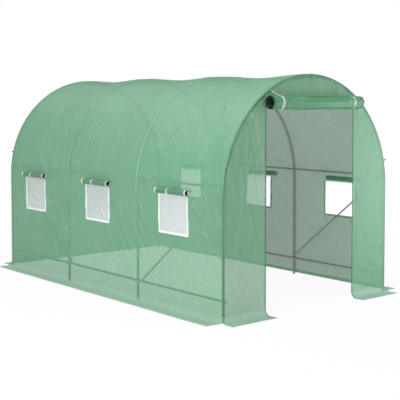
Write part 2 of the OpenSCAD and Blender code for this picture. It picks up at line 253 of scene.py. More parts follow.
def mesh_object(name, verts, faces, material, uvs=None, smooth=True):
    """A new mesh object; uvs has one pair for each vertex, in metres."""
    mesh = bpy.data.meshes.new(name)
    mesh.from_pydata([tuple(v) for v in verts], [], [tuple(f) for f in faces])
    if uvs is not None:
        layer = mesh.uv_layers.new(name="cloth")
        loops = np.zeros(len(mesh.loops), int)
        mesh.loops.foreach_get("vertex_index", loops)
        layer.data.foreach_set("uv", np.asarray(uvs, float)[loops].ravel())
    mesh.polygons.foreach_set("use_smooth", [smooth] * len(mesh.polygons))
    made = bpy.data.objects.new(name, mesh)
    collection().objects.link(made)
    mesh.materials.append(material)
    return made


def turn_outwards(made, away):
    """Flips all faces if they look along away less than against it."""
    mesh = made.data
    total = sum((p.normal * p.area for p in mesh.polygons), Vector())
    if total.dot(Vector(away)) < 0:
        mesh.flip_normals()


def weld(made):
    """Joins points of a mesh that lie on each other."""
    work = bmesh.new()
    work.from_mesh(made.data)
    bmesh.ops.remove_doubles(work, verts=work.verts, dist=1e-5)
    work.to_mesh(made.data)
    work.free()


def face_one_way(made):
    """Turns the faces of a mesh so that neighbours agree."""
    work = bmesh.new()
    work.from_mesh(made.data)
    bmesh.ops.recalc_face_normals(work, faces=work.faces)
    work.to_mesh(made.data)
    work.free()


class Cloth:
    """Collects grids of points into one mesh."""

    def __init__(self):
        self.verts = []
        self.faces = []
        self.uvs = []

    def grid(self, rows, uvs, keep=None):
        """Adds a grid; keep(i, j) says whether the face after row i, column j is there."""
        first = len(self.verts)
        wide = len(rows[0])
        for row, pair in zip(rows, uvs):
            self.verts += row
            self.uvs += pair
        for i in range(len(rows) - 1):
            for j in range(wide - 1):
                if keep is None or keep(i, j):
                    a = first + i * wide + j
                    self.faces.append((a, a + 1, a + wide + 1, a + wide))

    def make(self, name, material, away=None):
        """The mesh object, without points that no face uses."""
        used = sorted({v for f in self.faces for v in f})
        new = {v: k for k, v in enumerate(used)}
        made = mesh_object(
            name, [self.verts[v] for v in used], [[new[v] for v in f] for f in self.faces],
            material, [self.uvs[v] for v in used])
        weld(made)
        if away is not None:
            turn_outwards(made, away)
        return made


def thicken(made, thickness):
    """Gives a thin piece its thickness, half to each side."""
    solid = made.modifiers.new("thickness", "SOLIDIFY")
    solid.thickness = thickness
    solid.offset = 0.0
    bake_modifiers(made)


def bake_modifiers(made):
    """Turns a mesh with modifiers into a plain mesh."""
    graph = bpy.context.evaluated_depsgraph_get()
    mesh = bpy.data.meshes.new_from_object(made.evaluated_get(graph), depsgraph=graph)
    made.modifiers.clear()
    old = made.data
    made.data = mesh
    bpy.data.meshes.remove(old)
    mesh.name = made.name


def settle(made, slot, *nodes):
    """Makes a finished piece ride on the tunnel and stand for its nodes."""
    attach(made, "root")
    if nodes:
        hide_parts(*nodes)


# The cover's own shape

# Rows of the cover's mesh on both sides of an inner hoop, so that its ridge is round
BESIDE_HOOP = (0, 0.005, 0.010, 0.017, 0.026)
# Length round the flare between wall and ground skirt
FLARE_ARC = math.pi / 2 * FLARE_R
# Arc lengths from the crown: springing, foot of the wall, end of the flare, tip of the skirt
ROOF_S = math.pi / 2 * SKIN_R
FOOT_S = ROOF_S + SPRING_Z - WALL_FOOT
FLARE_S = FOOT_S + FLARE_ARC
FLARE_X = SKIN_R + FLARE_R
SKIRT_S = FLARE_S + SKIRT_X - FLARE_X


def foot(along):
    """Section of the skirt below the wall's foot: offset, height and the two parts of its normal."""
    if along < FLARE_ARC:
        b = along / FLARE_R
        return FLARE_R * (1 - math.cos(b)), WALL_FOOT - FLARE_R * math.sin(b), math.cos(b), math.sin(b)
    return FLARE_R + along - FLARE_ARC, FILM / 2, 0.0, 1.0


def window_ys(side):
    """Middles of the windows of one side along the tunnel."""
    shift = middle(("left" if side < 0 else "right") + "_window_borders", 1)
    return [(a + b) / 2 + shift for a, b in zip(HOOP_YS, HOOP_YS[1:])]


def window_box():
    """Half width, foot and head of a window."""
    windows = bpy.context.scene.tunnel_windows
    low = float(corners("left_window_nets")[0][2]) + windows.net_lap
    half = (extent("left_window_borders", 1) - 2 * BAY) / 2 - windows.border_w
    return half, low, WIN_HIGH


def bay_wave(y):
    """0 at each hoop and 1 in the middle of a bay."""
    return math.sin(math.pi * (y - HOOP_YS[0]) / BAY) ** 2


def hoop_gap(y):
    """Distance to the nearest hoop between the ends, with its sign."""
    return min((y - h for h in HOOP_YS[1:-1]), key=abs)


def wall_creases(side, y, z):
    """Folds of the flat wall, slanting from the back of a bay down to the front."""
    along, across = 0.5 * y + 0.866 * z, 0.866 * y - 0.5 * z
    behind_hoop = bell((hoop_gap(y) - 0.16) / 0.26) * bell((z - 0.56) / 0.36)
    band = ease((z - 0.08) / 0.15) * ease((1.3 - z) / 0.3)
    slant = folds(along * 1.2, across * 10 + 0.4 * rough(along * 3, across * 2, 5), 2 + side)
    steep = folds(z * 1.3 + y * 0.5, y * 12 - z * 4, 11 + side)
    hung = folds(z * 0.8, y * 6, 15 + side) * bell((z - 1.14) / 0.13)
    return band * (behind_hoop * slant + 0.18 * steep + 0.2 * slant) + 0.3 * hung


def side_relief(s, y):
    """How far the cover of roof and walls stands out from its plain section."""
    cover = bpy.context.scene.tunnel_cover
    side = -1 if s < 0 else 1
    s = abs(s)
    ridge = cover.ridge * bell(hoop_gap(y) / 0.012) * ease((FOOT_S + 0.02 - s) / 0.08)
    # The second hoop, where the sheet is pulled tightest, shows most
    third = 0.35 if y > 0 else 1.0
    ridge *= third * (0.2 + 0.8 * ease((s - 0.75) / 0.3) * (1 - 0.55 * ease((s - 1.5) / 0.4)))
    within = ease((HALF_L - abs(y)) / 0.05)
    if s < ROOF_S:
        angle = math.pi / 2 - s / SKIN_R
        start = math.asin((cover.seam_z - SPRING_Z) / (SKIN_R - FILM / 2))
        share = min(1.0, max(0.0, (angle - start) / cover.sag_rise))
        sag = cover.sag * bay_wave(y) * math.sin(math.pi / 2 * share) ** 2
        soft = 0.004 * rough(s * 1.6 * side, y * 1.3, 21) * bay_wave(y)
        pleat = 0.004 * folds(s * 0.7 * side, y * 7, 31) * bell((abs(hoop_gap(y)) - 0.09) / 0.16)
        dip = bell((hoop_gap(y) - 0.052) / 0.028) * ease((s - 0.85) / 0.3) * ease((ROOF_S + 0.05 - s) / 0.2)
        low = wall_creases(side, y, SPRING_Z + SKIN_R * math.sin(angle)) * cover.crease
        return ridge - sag + (soft + pleat + low - dip * third * cover.valley) * within
    if s < FOOT_S:
        z = SPRING_Z - (s - ROOF_S)
        draw = cover.slack * bay_wave(y) * math.sin(math.pi * min(1.0, (z - WALL_FOOT) / SPRING_Z)) ** 2
        soft = 0.003 * rough(y * 2.1, z * 1.5 + side, 41) * bay_wave(y) * ease((z - WALL_FOOT) / 0.2)
        return ridge - draw + (soft + cover.crease * wall_creases(side, y, z)) * within
    d = foot(s - FOOT_S)[0]
    lift = 0.5 + 0.5 * rough(y * 3.4, d * 6 + side * 5, 51)
    tight = 0.5 + 0.5 * rough(y * 9, d * 3 + side * 5, 61)
    return cover.ripple * ease((d - 0.03) / 0.09) * (0.7 * lift + 0.3 * tight) + ridge


def side_point(s, y, lift=0.0, phi=0.0):
    """Point of the main cover: arc length from the crown, place along, turn round the end hoop."""
    side = -1 if s < 0 else 1
    a = abs(s)
    d = 0.0
    if a < ROOF_S:
        t = a / SKIN_R
        x, z, nx, nz = SKIN_R * math.sin(t), SPRING_Z + SKIN_R * math.cos(t), math.sin(t), math.cos(t)
    elif a < FOOT_S:
        x, z, nx, nz = SKIN_R, SPRING_Z - (a - ROOF_S), 1.0, 0.0
    else:
        d, z, nx, nz = foot(a - FOOT_S)
        x = SKIN_R + d
    out = side_relief(s, y) + lift
    # Up to the corner the flares of side and end are one sheet; past it the strips lie apart
    joined = d < CORNER + 1e-6
    tucked = EDGE_R * (1 - math.cos(phi)) if joined else 0.0
    end = 1 if y > 0 else -1
    grown = d if joined else CORNER * (1 - ease((d - CORNER) / 0.03))
    grown *= ease((abs(y) - (HALF_L - 0.35)) / 0.35)
    far = y + end * (grown + (EDGE_R + lift) * math.sin(phi))
    px = x + nx * out - (tucked if d > 0 else nx * tucked)
    pz = z + nz * out - (0 if d > 0 else nz * tucked)
    return (side * px, far, pz)


# The same lengths on an end panel, and the head of the doorway
ARCH_A = ARCH_R * math.pi / 2
FOOT_A = ARCH_A + SPRING_Z - WALL_FOOT
END_A = FOOT_A + FLARE_ARC + END_REACH - FLARE_R
DOOR_A = ARCH_R * math.acos((DOOR_Z - SPRING_Z) / ARCH_R)


def level(a):
    """Half width, height, section, turn and normal of an end panel, at an arc length from the crown."""
    if a < ARCH_A:
        t = a / ARCH_R
        return ARCH_R * math.sin(t), SPRING_Z + ARCH_R * math.cos(t), 0.0, t, (1.0, 0.0)
    z = SPRING_Z - (a - ARCH_A)
    if z >= WALL_FOOT:
        return ARCH_R, z, 0.0, math.pi / 2, (1.0, 0.0)
    d, z, n_out, n_up = foot(WALL_FOOT - z)
    return ARCH_R + min(d, CORNER), z, d, math.pi / 2, (n_out, n_up)


def end_relief(x, a, end):
    """How far an end panel stands out from its plane."""
    cover = bpy.context.scene.tunnel_cover
    wide, z, d, _, _ = level(a)
    inside = ease((wide - abs(x)) / 0.06)
    if d > 0:
        lift = 0.5 + 0.5 * rough(x * 3.6, d * 6 + end * 3, 71)
        return cover.ripple * ease((d - 0.03) / 0.09) * lift
    seed = 81 + end + (4 if x > 0 else 0)
    soft = 0.006 * rough(x * 2.4, z * 1.4, seed)
    hung = folds(z * 0.9 + x * 0.2, x * 9 + z * 1.6, seed + 1) * (0.2 + 0.8 * ease((z - 0.9) / 0.7))
    slant = folds((x * 0.5 + z) * 1.4, (x - z * 0.5) * 8, seed + 2) * bell((z - 1.35) / 0.35)
    free = ease((abs(x) - DOOR_X) / 0.10) * 0.8 + 0.2 if end < 0 and z < DOOR_Z else 1.0
    low = ease((z - WALL_FOOT) / 0.25)
    # Beside the doorway the right panel hangs smoother than the left one
    calm = 1 - 0.7 * ease((x - DOOR_X + 0.15) / 0.2) if end < 0 else 1.0
    return (soft * low + cover.crease * (0.7 * hung + 0.8 * slant) * calm * low) * inside * free


def end_point(x, a, end, lift=0.0):
    """Point of an end panel or its skirt; end is -1 in front and 1 behind."""
    _, z, d, _, (n_out, n_up) = level(a)
    out = end_relief(x, a, end) + lift
    return (x, end * (HALF_L + EDGE_R + d + n_out * out), z + n_up * out)


def rim_point(side, a, end, phi, lift=0.0):
    """Point of the cover where it bends round an end hoop; phi is 90 degrees on the panel, 45 at the seam."""
    wide, z, d, t, _ = level(a)
    r = EDGE_R + lift
    if a < ARCH_A:
        rr = ARCH_R + r * math.cos(phi)
        return (side * rr * math.sin(t), end * (HALF_L + r * math.sin(phi)), SPRING_Z + rr * math.cos(t))
    return (side * (wide + r * math.cos(phi)), end * (HALF_L + d + r * math.sin(phi)), z)


# Materials

def add(tree, kind, inputs=(), **settings):
    """Adds a node with its settings; an input is a value, a socket, or a node for its first output."""
    made = tree.nodes.new(kind)
    for name, value in settings.items():
        setattr(made, name, value)
    for socket, value in dict(inputs).items():
        if isinstance(value, bpy.types.Node):
            value = value.outputs[0]
        if isinstance(value, bpy.types.NodeSocket):
            tree.links.new(value, made.inputs[socket])
        else:
            made.inputs[socket].default_value = value
    return made


def rgba(colour):
    """Colour with a solid alpha."""
    return (*colour[:3], 1.0)


def shade(colour, factor):
    """A darker or lighter tone of a colour."""
    return (*[min(1.0, c * factor) for c in colour[:3]], 1.0)


def new_material(name):
    """A new material and its empty tree, or one that is there already and None."""
    made = bpy.data.materials.get(name)
    if made:
        return made, None
    made = bpy.data.materials.new(name)
    made.use_nodes = True
    made.node_tree.nodes.clear()
    return made, made.node_tree


def thread_lines(tree, coords, pitch, share):
    """1 on the threads of a grid, 0 between them."""
    split = add(tree, "ShaderNodeSeparateXYZ", {0: coords})
    lines = {}
    for axis in (0, 1):
        count = add(tree, "ShaderNodeMath", {0: split.outputs[axis], 1: 1 / pitch}, operation="MULTIPLY")
        saw = add(tree, "ShaderNodeMath", {0: count, 1: 0.5}, operation="PINGPONG")
        lines[axis] = add(tree, "ShaderNodeMapRange", {0: saw, 1: 0.5 * share, 2: 0.0, 3: 0.0, 4: 1.0})
    return add(tree, "ShaderNodeMath", lines, operation="MAXIMUM")


def crease_lines(tree, coords, turn, seed):
    """Thin broken lines where the film has been folded, from 0 to 1."""
    place = add(tree, "ShaderNodeMapping", {
        0: coords, 1: (seed, seed * 0.7, 0), 2: (0, 0, turn), 3: (0.8, 0.2, 1)}, vector_type="TEXTURE")
    wave = add(tree, "ShaderNodeTexNoise", {
        "Vector": place, "Scale": 2.4, "Detail": 4.0, "Roughness": 0.55, "Distortion": 0.5})
    above = add(tree, "ShaderNodeMath", {0: wave, 1: 0.5}, operation="SUBTRACT")
    off = add(tree, "ShaderNodeMath", {0: above}, operation="ABSOLUTE")
    line = add(tree, "ShaderNodeMapRange", {0: off, 1: 0.0, 2: 0.034, 3: 1.0, 4: 0.0})
    spot = add(tree, "ShaderNodeTexNoise", {"Vector": place, "Scale": 1.1, "Detail": 1.0})
    here = add(tree, "ShaderNodeMapRange", {0: spot, 1: 0.5, 2: 0.66, 3: 0.0, 4: 1.0})
    return add(tree, "ShaderNodeMath", {0: line, 1: here}, operation="MULTIPLY")


def hoop_highlight_lines(tree, coords):
    """1 on the two inner hoops between shoulder and springing, where a pale line is painted as the highlight
    of the tube under the film.
    """
    split = add(tree, "ShaderNodeSeparateXYZ", {0: coords})
    near = {}
    for k, (y, share, wide) in enumerate(zip(HOOP_YS[1:-1], (1.0, 0.4), (0.011, 0.015))):
        off = add(tree, "ShaderNodeMath", {0: split.outputs[1], 1: y}, operation="SUBTRACT")
        gap = add(tree, "ShaderNodeMath", {0: off}, operation="ABSOLUTE")
        near[k] = add(tree, "ShaderNodeMapRange", {0: gap, 1: 0.003, 2: wide, 3: share, 4: 0.0})
    both = add(tree, "ShaderNodeMath", near, operation="MAXIMUM")
    down = add(tree, "ShaderNodeMath", {0: split.outputs[0]}, operation="ABSOLUTE")
    rise = add(tree, "ShaderNodeMapRange", {0: down, 1: 0.85, 2: 1.15, 3: 0.35, 4: 1.0})
    fall = add(tree, "ShaderNodeMapRange", {0: down, 1: 1.45, 2: 1.8, 3: 1.0, 4: 0.15})
    share = add(tree, "ShaderNodeMath", {0: rise, 1: fall}, operation="MULTIPLY")
    return add(tree, "ShaderNodeMath", {0: both, 1: share}, operation="MULTIPLY")


# What sets each film apart: tone and base of its colour, see-through, glow, lean of its creases,
# painted highlights along the hoops
PLAIN_FILM = {"tone": 1.0, "base": None, "see": None, "glow": None, "lean": 0.3, "hoops": False}
FILMS = {
    # Stretched over the hoops, along which pale lines are painted as highlights of the tubes under it
    "woven_roof_film": {"hoops": True},
    # Hung from the end hoops, so it creases along its height
    "woven_end_film": {"lean": 1.4},
    # Folded over and sewn, so it hardly lets light through; its darker tone is painted shade of the end
    # hoop's tube behind it
    "hemmed_film": {"tone": 0.76, "see": 0.06, "glow": 0.1},
    "edge_tape": {"tone": 0.5, "see": 0.0, "glow": 0.1},
    # Several layers thick: deeper in colour; the layers inside a roll are painted dark, as the shade between
    # them
    "rolled_door_film": {"base": "#549A70", "see": 0.0, "glow": 0.03, "lean": 0.05},
    "rolled_film": {"tone": 0.80, "see": 0.06, "glow": 0.2},
    "inner_layers": {"tone": 0.26, "see": 0.0, "glow": 0.0},
}


def film_material(name):
    """Woven polyethylene film, laminated green: satin, with a faint grid of threads and light through it."""
    made, tree = new_material(name)
    if tree is None:
        return made
    cover = bpy.context.scene.tunnel_cover
    look = {**PLAIN_FILM, **FILMS[name]}
    tone, lean = look["tone"], look["lean"]
    see = cover.see_through if look["see"] is None else look["see"]
    glow = cover.glow if look["glow"] is None else look["glow"]
    base = cover.film if look["base"] is None else srgb(look["base"])
    coords = add(tree, "ShaderNodeUVMap", uv_map="cloth").outputs[0]
    # Tapes of such film lie 2 to 3 mm apart; only a coarser grid of threads is drawn, so that it shows
    lines = thread_lines(tree, coords, cover.thread_pitch, 0.36)
    cloud = add(tree, "ShaderNodeTexNoise", {"Vector": coords, "Scale": 2.2, "Detail": 4.0})
    drawn_out = add(tree, "ShaderNodeMapping", {0: coords, 3: (60.0, 3.0, 1.0)})
    streak = add(tree, "ShaderNodeTexNoise", {"Vector": drawn_out, "Scale": 1.0, "Detail": 2.0})
    colour = add(tree, "ShaderNodeMix", {
        0: cloud, 6: shade(base, 0.93 * tone), 7: shade(base, 1.06 * tone)}, data_type="RGBA").outputs[2]
    faint = add(tree, "ShaderNodeMath", {0: lines, 1: 0.25}, operation="MULTIPLY")
    colour = add(tree, "ShaderNodeMix", {
        0: faint, 6: colour, 7: shade(base, 0.78 * tone)}, data_type="RGBA").outputs[2]
    # The film creases mostly along its hang, some way over to one side
    marks = add(tree, "ShaderNodeMath", {
        0: crease_lines(tree, coords, lean, 3.0),
        1: crease_lines(tree, coords, lean + 0.4, 11.0)}, operation="MAXIMUM")
    # The crease lines are also painted pale, as highlights along the folds
    painted_highlight = add(tree, "ShaderNodeMath", {0: marks, 1: 0.22}, operation="MULTIPLY")
    # On the roof, pale lines over the inner hoops are painted highlights of the tubes under the film
    if look["hoops"]:
        painted_hoop_highlight = add(tree, "ShaderNodeMath", {0: hoop_highlight_lines(tree, coords), 1: 0.5}, operation="MULTIPLY")
        painted_highlight = add(tree, "ShaderNodeMath", {0: painted_highlight, 1: painted_hoop_highlight}, operation="MAXIMUM")
    # The pale tone on the creases and hoops is painted highlight
    colour = add(tree, "ShaderNodeMix", {
        0: painted_highlight, 6: colour, 7: shade(srgb("#C8DFD0"), tone)}, data_type="RGBA").outputs[2]
    height = add(tree, "ShaderNodeTexNoise", {"Vector": coords, "Scale": 17.0, "Detail": 5.0})
    for part, share in ((lines, 0.1), (streak, 0.25), (marks, 0.5)):
        height = add(tree, "ShaderNodeMath", {0: part, 1: share, 2: height}, operation="MULTIPLY_ADD")
    bump = add(tree, "ShaderNodeBump", {"Strength": 1.0, "Distance": 0.006, "Height": height})
    dull = add(tree, "ShaderNodeMapRange", {0: cloud, 3: 0.36, 4: 0.48})
    face = add(tree, "ShaderNodeBsdfPrincipled", {
        "Base Color": colour, "Roughness": dull, "IOR": 1.5, "Normal": bump})
    through = add(tree, "ShaderNodeBsdfTranslucent", {"Color": shade(cover.film_light, tone), "Normal": bump})
    lit = add(tree, "ShaderNodeMixShader", {0: glow, 1: face, 2: through})
    clear = add(tree, "ShaderNodeBsdfTransparent")
    open_share = add(tree, "ShaderNodeMapRange", {0: lines, 3: see * 1.25, 4: see * 0.55})
    mixed = add(tree, "ShaderNodeMixShader", {0: open_share, 1: lit, 2: clear})
    add(tree, "ShaderNodeOutputMaterial", {0: mixed})
    return made


def zinc_material():
    """Hot-dip galvanised steel tube: dull blue-grey with soft crystal patches."""
    made, tree = new_material("galvanised_steel")
    if tree is None:
        return made
    tube = bpy.context.scene.tunnel_frame
    coords = add(tree, "ShaderNodeTexCoord").outputs["Object"]
    flakes = add(tree, "ShaderNodeTexVoronoi", {"Vector": coords, "Scale": 140.0}).outputs["Color"]
    patch = add(tree, "ShaderNodeSeparateColor", {0: flakes})
    cloud = add(tree, "ShaderNodeTexNoise", {"Vector": coords, "Scale": 9.0, "Detail": 4.0})
    soft = add(tree, "ShaderNodeMath", {0: cloud, 1: 0.55}, operation="MULTIPLY")
    tone = add(tree, "ShaderNodeMath", {0: patch, 1: 0.45, 2: soft}, operation="MULTIPLY_ADD")
    colour = add(tree, "ShaderNodeMix", {
        0: tone, 6: shade(tube.zinc, 0.80), 7: shade(tube.zinc, 1.15)}, data_type="RGBA").outputs[2]
    dull = add(tree, "ShaderNodeMapRange", {0: patch, 3: 0.34, 4: 0.52})
    face = add(tree, "ShaderNodeBsdfPrincipled", {"Base Color": colour, "Roughness": dull, "Metallic": 0.5})
    add(tree, "ShaderNodeOutputMaterial", {0: face})
    return made


def cap_material():
    """Injection-moulded black polyethylene: near-black, slightly glossy, with a fine grain."""
    made, tree = new_material("moulded_cap")
    if tree is None:
        return made
    tube = bpy.context.scene.tunnel_frame
    coords = add(tree, "ShaderNodeTexCoord").outputs["Object"]
    grain = add(tree, "ShaderNodeTexNoise", {"Vector": coords, "Scale": 900.0, "Detail": 2.0})
    cloud = add(tree, "ShaderNodeTexNoise", {"Vector": coords, "Scale": 30.0})
    colour = add(tree, "ShaderNodeMix", {
        0: cloud, 6: rgba(tube.cap), 7: shade(tube.cap, 1.5)}, data_type="RGBA").outputs[2]
    bump = add(tree, "ShaderNodeBump", {"Strength": 0.3, "Distance": 0.0003, "Height": grain})
    face = add(tree, "ShaderNodeBsdfPrincipled", {
        "Base Color": colour, "Roughness": 0.42, "IOR": 1.5, "Normal": bump})
    add(tree, "ShaderNodeOutputMaterial", {0: face})
    return made


def tape_material(name, code):
    """Woven polypropylene tape: flat ribs across its width and a soft matt face."""
    made, tree = new_material(name)
    if tree is None:
        return made
    coords = add(tree, "ShaderNodeUVMap", uv_map="cloth").outputs[0]
    # Ribs of such tape lie about 0.8 mm apart; they are drawn twice as coarse so that they show
    lines = thread_lines(tree, coords, 0.0016, 0.6)
    cloud = add(tree, "ShaderNodeTexNoise", {"Vector": coords, "Scale": 18.0, "Detail": 3.0})
    colour = add(tree, "ShaderNodeMix", {
        0: cloud, 6: shade(srgb(code), 0.93), 7: shade(srgb(code), 1.04)}, data_type="RGBA").outputs[2]
    bump = add(tree, "ShaderNodeBump", {"Strength": 0.4, "Distance": 0.0004, "Height": lines})
    face = add(tree, "ShaderNodeBsdfPrincipled", {
        "Base Color": colour, "Roughness": 0.62, "IOR": 1.5, "Normal": bump,
        "Sheen Weight": 0.15, "Sheen Roughness": 0.4})
    add(tree, "ShaderNodeOutputMaterial", {0: face})
    return made


def webbing_material():
    """White webbing of the windows: the brightest thing on the tunnel."""
    return tape_material("white_webbing", "#FAFDFB")


def net_material():
    """Knitted insect net of white thread: pale, half open, so that what lies behind it fades."""
    made, tree = new_material("knitted_net")
    if tree is None:
        return made
    see = bpy.context.scene.tunnel_windows.net_see
    coords = add(tree, "ShaderNodeUVMap", uv_map="cloth").outputs[0]
    # Such net has a hole about every 1.2 mm; it is drawn as a grid of 5 mm so that its lines show
    lines = thread_lines(tree, coords, 0.005, 0.5)
    drawn_out = add(tree, "ShaderNodeMapping", {0: coords, 3: (90.0, 4.0, 1.0)})
    column = add(tree, "ShaderNodeTexNoise", {"Vector": drawn_out, "Scale": 1.0})
    colour = add(tree, "ShaderNodeMix", {
        0: column, 6: rgba(srgb("#B4B6BE")), 7: rgba(srgb("#D6D7DC"))}, data_type="RGBA").outputs[2]
    face = add(tree, "ShaderNodeBsdfPrincipled", {"Base Color": colour, "Roughness": 0.7, "IOR": 1.5})
    through = add(tree, "ShaderNodeBsdfTranslucent", {"Color": rgba(srgb("#E9EAEE"))})
    lit = add(tree, "ShaderNodeAddShader", {0: face, 1: through})
    clear = add(tree, "ShaderNodeBsdfTransparent")
    open_share = add(tree, "ShaderNodeMapRange", {0: lines, 3: see * 1.2, 4: see * 0.75})
    mixed = add(tree, "ShaderNodeMixShader", {0: open_share, 1: lit, 2: clear})
    add(tree, "ShaderNodeOutputMaterial", {0: mixed})
    return made


def thread_material(name, dark, light):
    """Bonded polyester of sewing thread and zip teeth: even in colour, slightly glossy."""
    made, tree = new_material(name)
    if tree is None:
        return made
    coords = add(tree, "ShaderNodeTexCoord").outputs["Object"]
    cloud = add(tree, "ShaderNodeTexNoise", {"Vector": coords, "Scale": 400.0})
    colour = add(tree, "ShaderNodeMix", {
        0: cloud, 6: rgba(srgb(dark)), 7: rgba(srgb(light))}, data_type="RGBA").outputs[2]
    face = add(tree, "ShaderNodeBsdfPrincipled", {"Base Color": colour, "Roughness": 0.5, "IOR": 1.5})
    add(tree, "ShaderNodeOutputMaterial", {0: face})
    return made


def bolt_material():
    """Zinc-plated steel bolt: bright grey metal with a faint brushed grain."""
    made, tree = new_material("zinc_bolt")
    if tree is None:
        return made
    coords = add(tree, "ShaderNodeTexCoord").outputs["Object"]
    cloud = add(tree, "ShaderNodeTexNoise", {"Vector": coords, "Scale": 260.0, "Detail": 3.0})
    colour = add(tree, "ShaderNodeMix", {
        0: cloud, 6: rgba(srgb("#8C8F91")), 7: rgba(srgb("#B4B7B9"))}, data_type="RGBA").outputs[2]
    dull = add(tree, "ShaderNodeMapRange", {0: cloud, 3: 0.25, 4: 0.4})
    face = add(tree, "ShaderNodeBsdfPrincipled", {"Base Color": colour, "Roughness": dull, "Metallic": 0.9})
    add(tree, "ShaderNodeOutputMaterial", {0: face})
    return made


# Geometry Nodes that repeat small parts

def new_tree(name, sizes):
    """An empty tree with a number for each named size and a material; also the sockets of its inputs."""
    tree = bpy.data.node_groups.new(name, "GeometryNodeTree")
    kinds = {"Geometry": "Geometry", **{size: "Float" for size in sizes}, "Material": "Material"}
    for label, kind in kinds.items():
        tree.interface.new_socket(label, in_out="INPUT", socket_type="NodeSocket" + kind)
    tree.interface.new_socket("Geometry", in_out="OUTPUT", socket_type="NodeSocketGeometry")
    return tree, add(tree, "NodeGroupInput").outputs


def set_on_dots(tree, dots, shape, way, material):
    """Ends a tree: one shape on every dot, turned along a way, as one painted mesh."""
    turned = add(tree, "FunctionNodeAlignRotationToVector", {"Vector": way}, axis="Z")
    placed = add(tree, "GeometryNodeInstanceOnPoints", {
        "Points": dots, "Instance": shape, "Rotation": turned})
    real = add(tree, "GeometryNodeRealizeInstances", {0: placed})
    painted = add(tree, "GeometryNodeSetMaterial", {"Geometry": real, "Material": material})
    add(tree, "NodeGroupOutput", {0: painted})


def bar_tree():
    """Tree that sets one small bar after another along the edges of a mesh."""
    name = "bars_along_a_path"
    if name in bpy.data.node_groups:
        return bpy.data.node_groups[name]
    tree, given = new_tree(name, ("Pitch", "Length", "Width"))
    path = add(tree, "GeometryNodeMeshToCurve", {0: given["Geometry"]})
    dots = add(tree, "GeometryNodeResampleCurve", {"Curve": path, "Length": given["Pitch"]}, mode="LENGTH")
    radius = add(tree, "ShaderNodeMath", {0: given["Width"], 1: 0.5}, operation="MULTIPLY")
    bar = add(tree, "GeometryNodeMeshCylinder", {
        "Vertices": 6, "Radius": radius, "Depth": given["Length"]}, fill_type="TRIANGLE_FAN")
    tangent = add(tree, "GeometryNodeInputTangent")
    set_on_dots(tree, dots, bar, tangent, given["Material"])
    return tree


def screw_tree():
    """Tree that sets a hexagon screw head with its washer on every point, along the point's own way."""
    tree, given = new_tree("screws_on_points", ("Head",))
    # Shares of the head's width: its half, its height, where it sits on the washer, the washer's own sizes
    half, high, seat, wide, thick = (
        add(tree, "ShaderNodeMath", {0: given["Head"], 1: share}, operation="MULTIPLY")
        for share in (0.5, 0.45, 0.45 * 0.75, 0.8, 0.14))
    head = add(tree, "GeometryNodeMeshCylinder", {"Vertices": 6, "Radius": half, "Depth": high})
    lift = add(tree, "ShaderNodeCombineXYZ", {2: seat})
    raised = add(tree, "GeometryNodeTransform", {"Geometry": head, "Translation": lift})
    washer = add(tree, "GeometryNodeMeshCylinder", {"Vertices": 20, "Radius": wide, "Depth": thick})
    both = add(tree, "GeometryNodeJoinGeometry")
    for part in (raised, washer):
        tree.links.new(part.outputs[0], both.inputs[0])
    way = add(tree, "GeometryNodeInputNamedAttribute", {"Name": "away"}, data_type="FLOAT_VECTOR")
    dots = add(tree, "GeometryNodeMeshToPoints", {0: given["Geometry"]})
    set_on_dots(tree, dots, both, way, given["Material"])
    return tree


def run_tree(made, tree, values):
    """Runs a tree on an object with its named inputs and keeps the result as a plain mesh."""
    modifier = made.modifiers.new(tree.name, "NODES")
    modifier.node_group = tree
    for item in tree.interface.items_tree:
        if item.in_out == "INPUT" and item.name in values:
            modifier[item.identifier] = values[item.name]
    bake_modifiers(made)


def path_object(name, paths):
    """A mesh of edges through each list of points."""
    verts, edges = [], []
    for path in paths:
        first = len(verts)
        verts += [tuple(p) for p in path]
        edges += [(first + k, first + k + 1) for k in range(len(path) - 1)]
    mesh = bpy.data.meshes.new(name)
    mesh.from_pydata(verts, edges, [])
    made = bpy.data.objects.new(name, mesh)
    collection().objects.link(made)
    return made


def bars(name, paths, pitch, length, width, material):
    """Stitches, teeth or other small bars along paths."""
    made = path_object(name, paths)
    run_tree(made, bar_tree(), {
        "Pitch": pitch, "Length": length, "Width": width, "Material": material})
    return made


# Rolls, ribbons and knots

def roll_path(turns, radius, layer, per_turn):
    """Turn and radius at every point of a rolled flap, from the wall side over the top and inwards."""
    segments = int(turns * per_turn)
    found = []
    for k in range(segments + 1):
        turn = math.pi + math.tau * turns * k / segments
        found.append((turn, radius - layer * (turn - math.pi) / math.tau))
    return found


def unrolled(rows):
    """Length of the sheet up to each of its rows, measured along its middle."""
    run = [0.0]
    line = [row[len(row) // 2] for row in rows]
    for a, b in zip(line, line[1:]):
        run.append(run[-1] + math.dist(a, b))
    return run


def smooth_path(points):
    """Rounded line through a few points."""
    steps = 8
    pts = [np.array(p, float) for p in points]
    pts = [2 * pts[0] - pts[1]] + pts + [2 * pts[-1] - pts[-2]]
    found = []
    for k in range(1, len(pts) - 2):
        a, b, c, d = pts[k - 1:k + 3]
        for s in range(steps):
            t = s / steps
            found.append(0.5 * (2 * b + (c - a) * t + (2 * a - 5 * b + 4 * c - d) * t * t
                                + (3 * b - a - 3 * c + d) * t ** 3))
    found.append(pts[-2])
    return [tuple(p) for p in found]


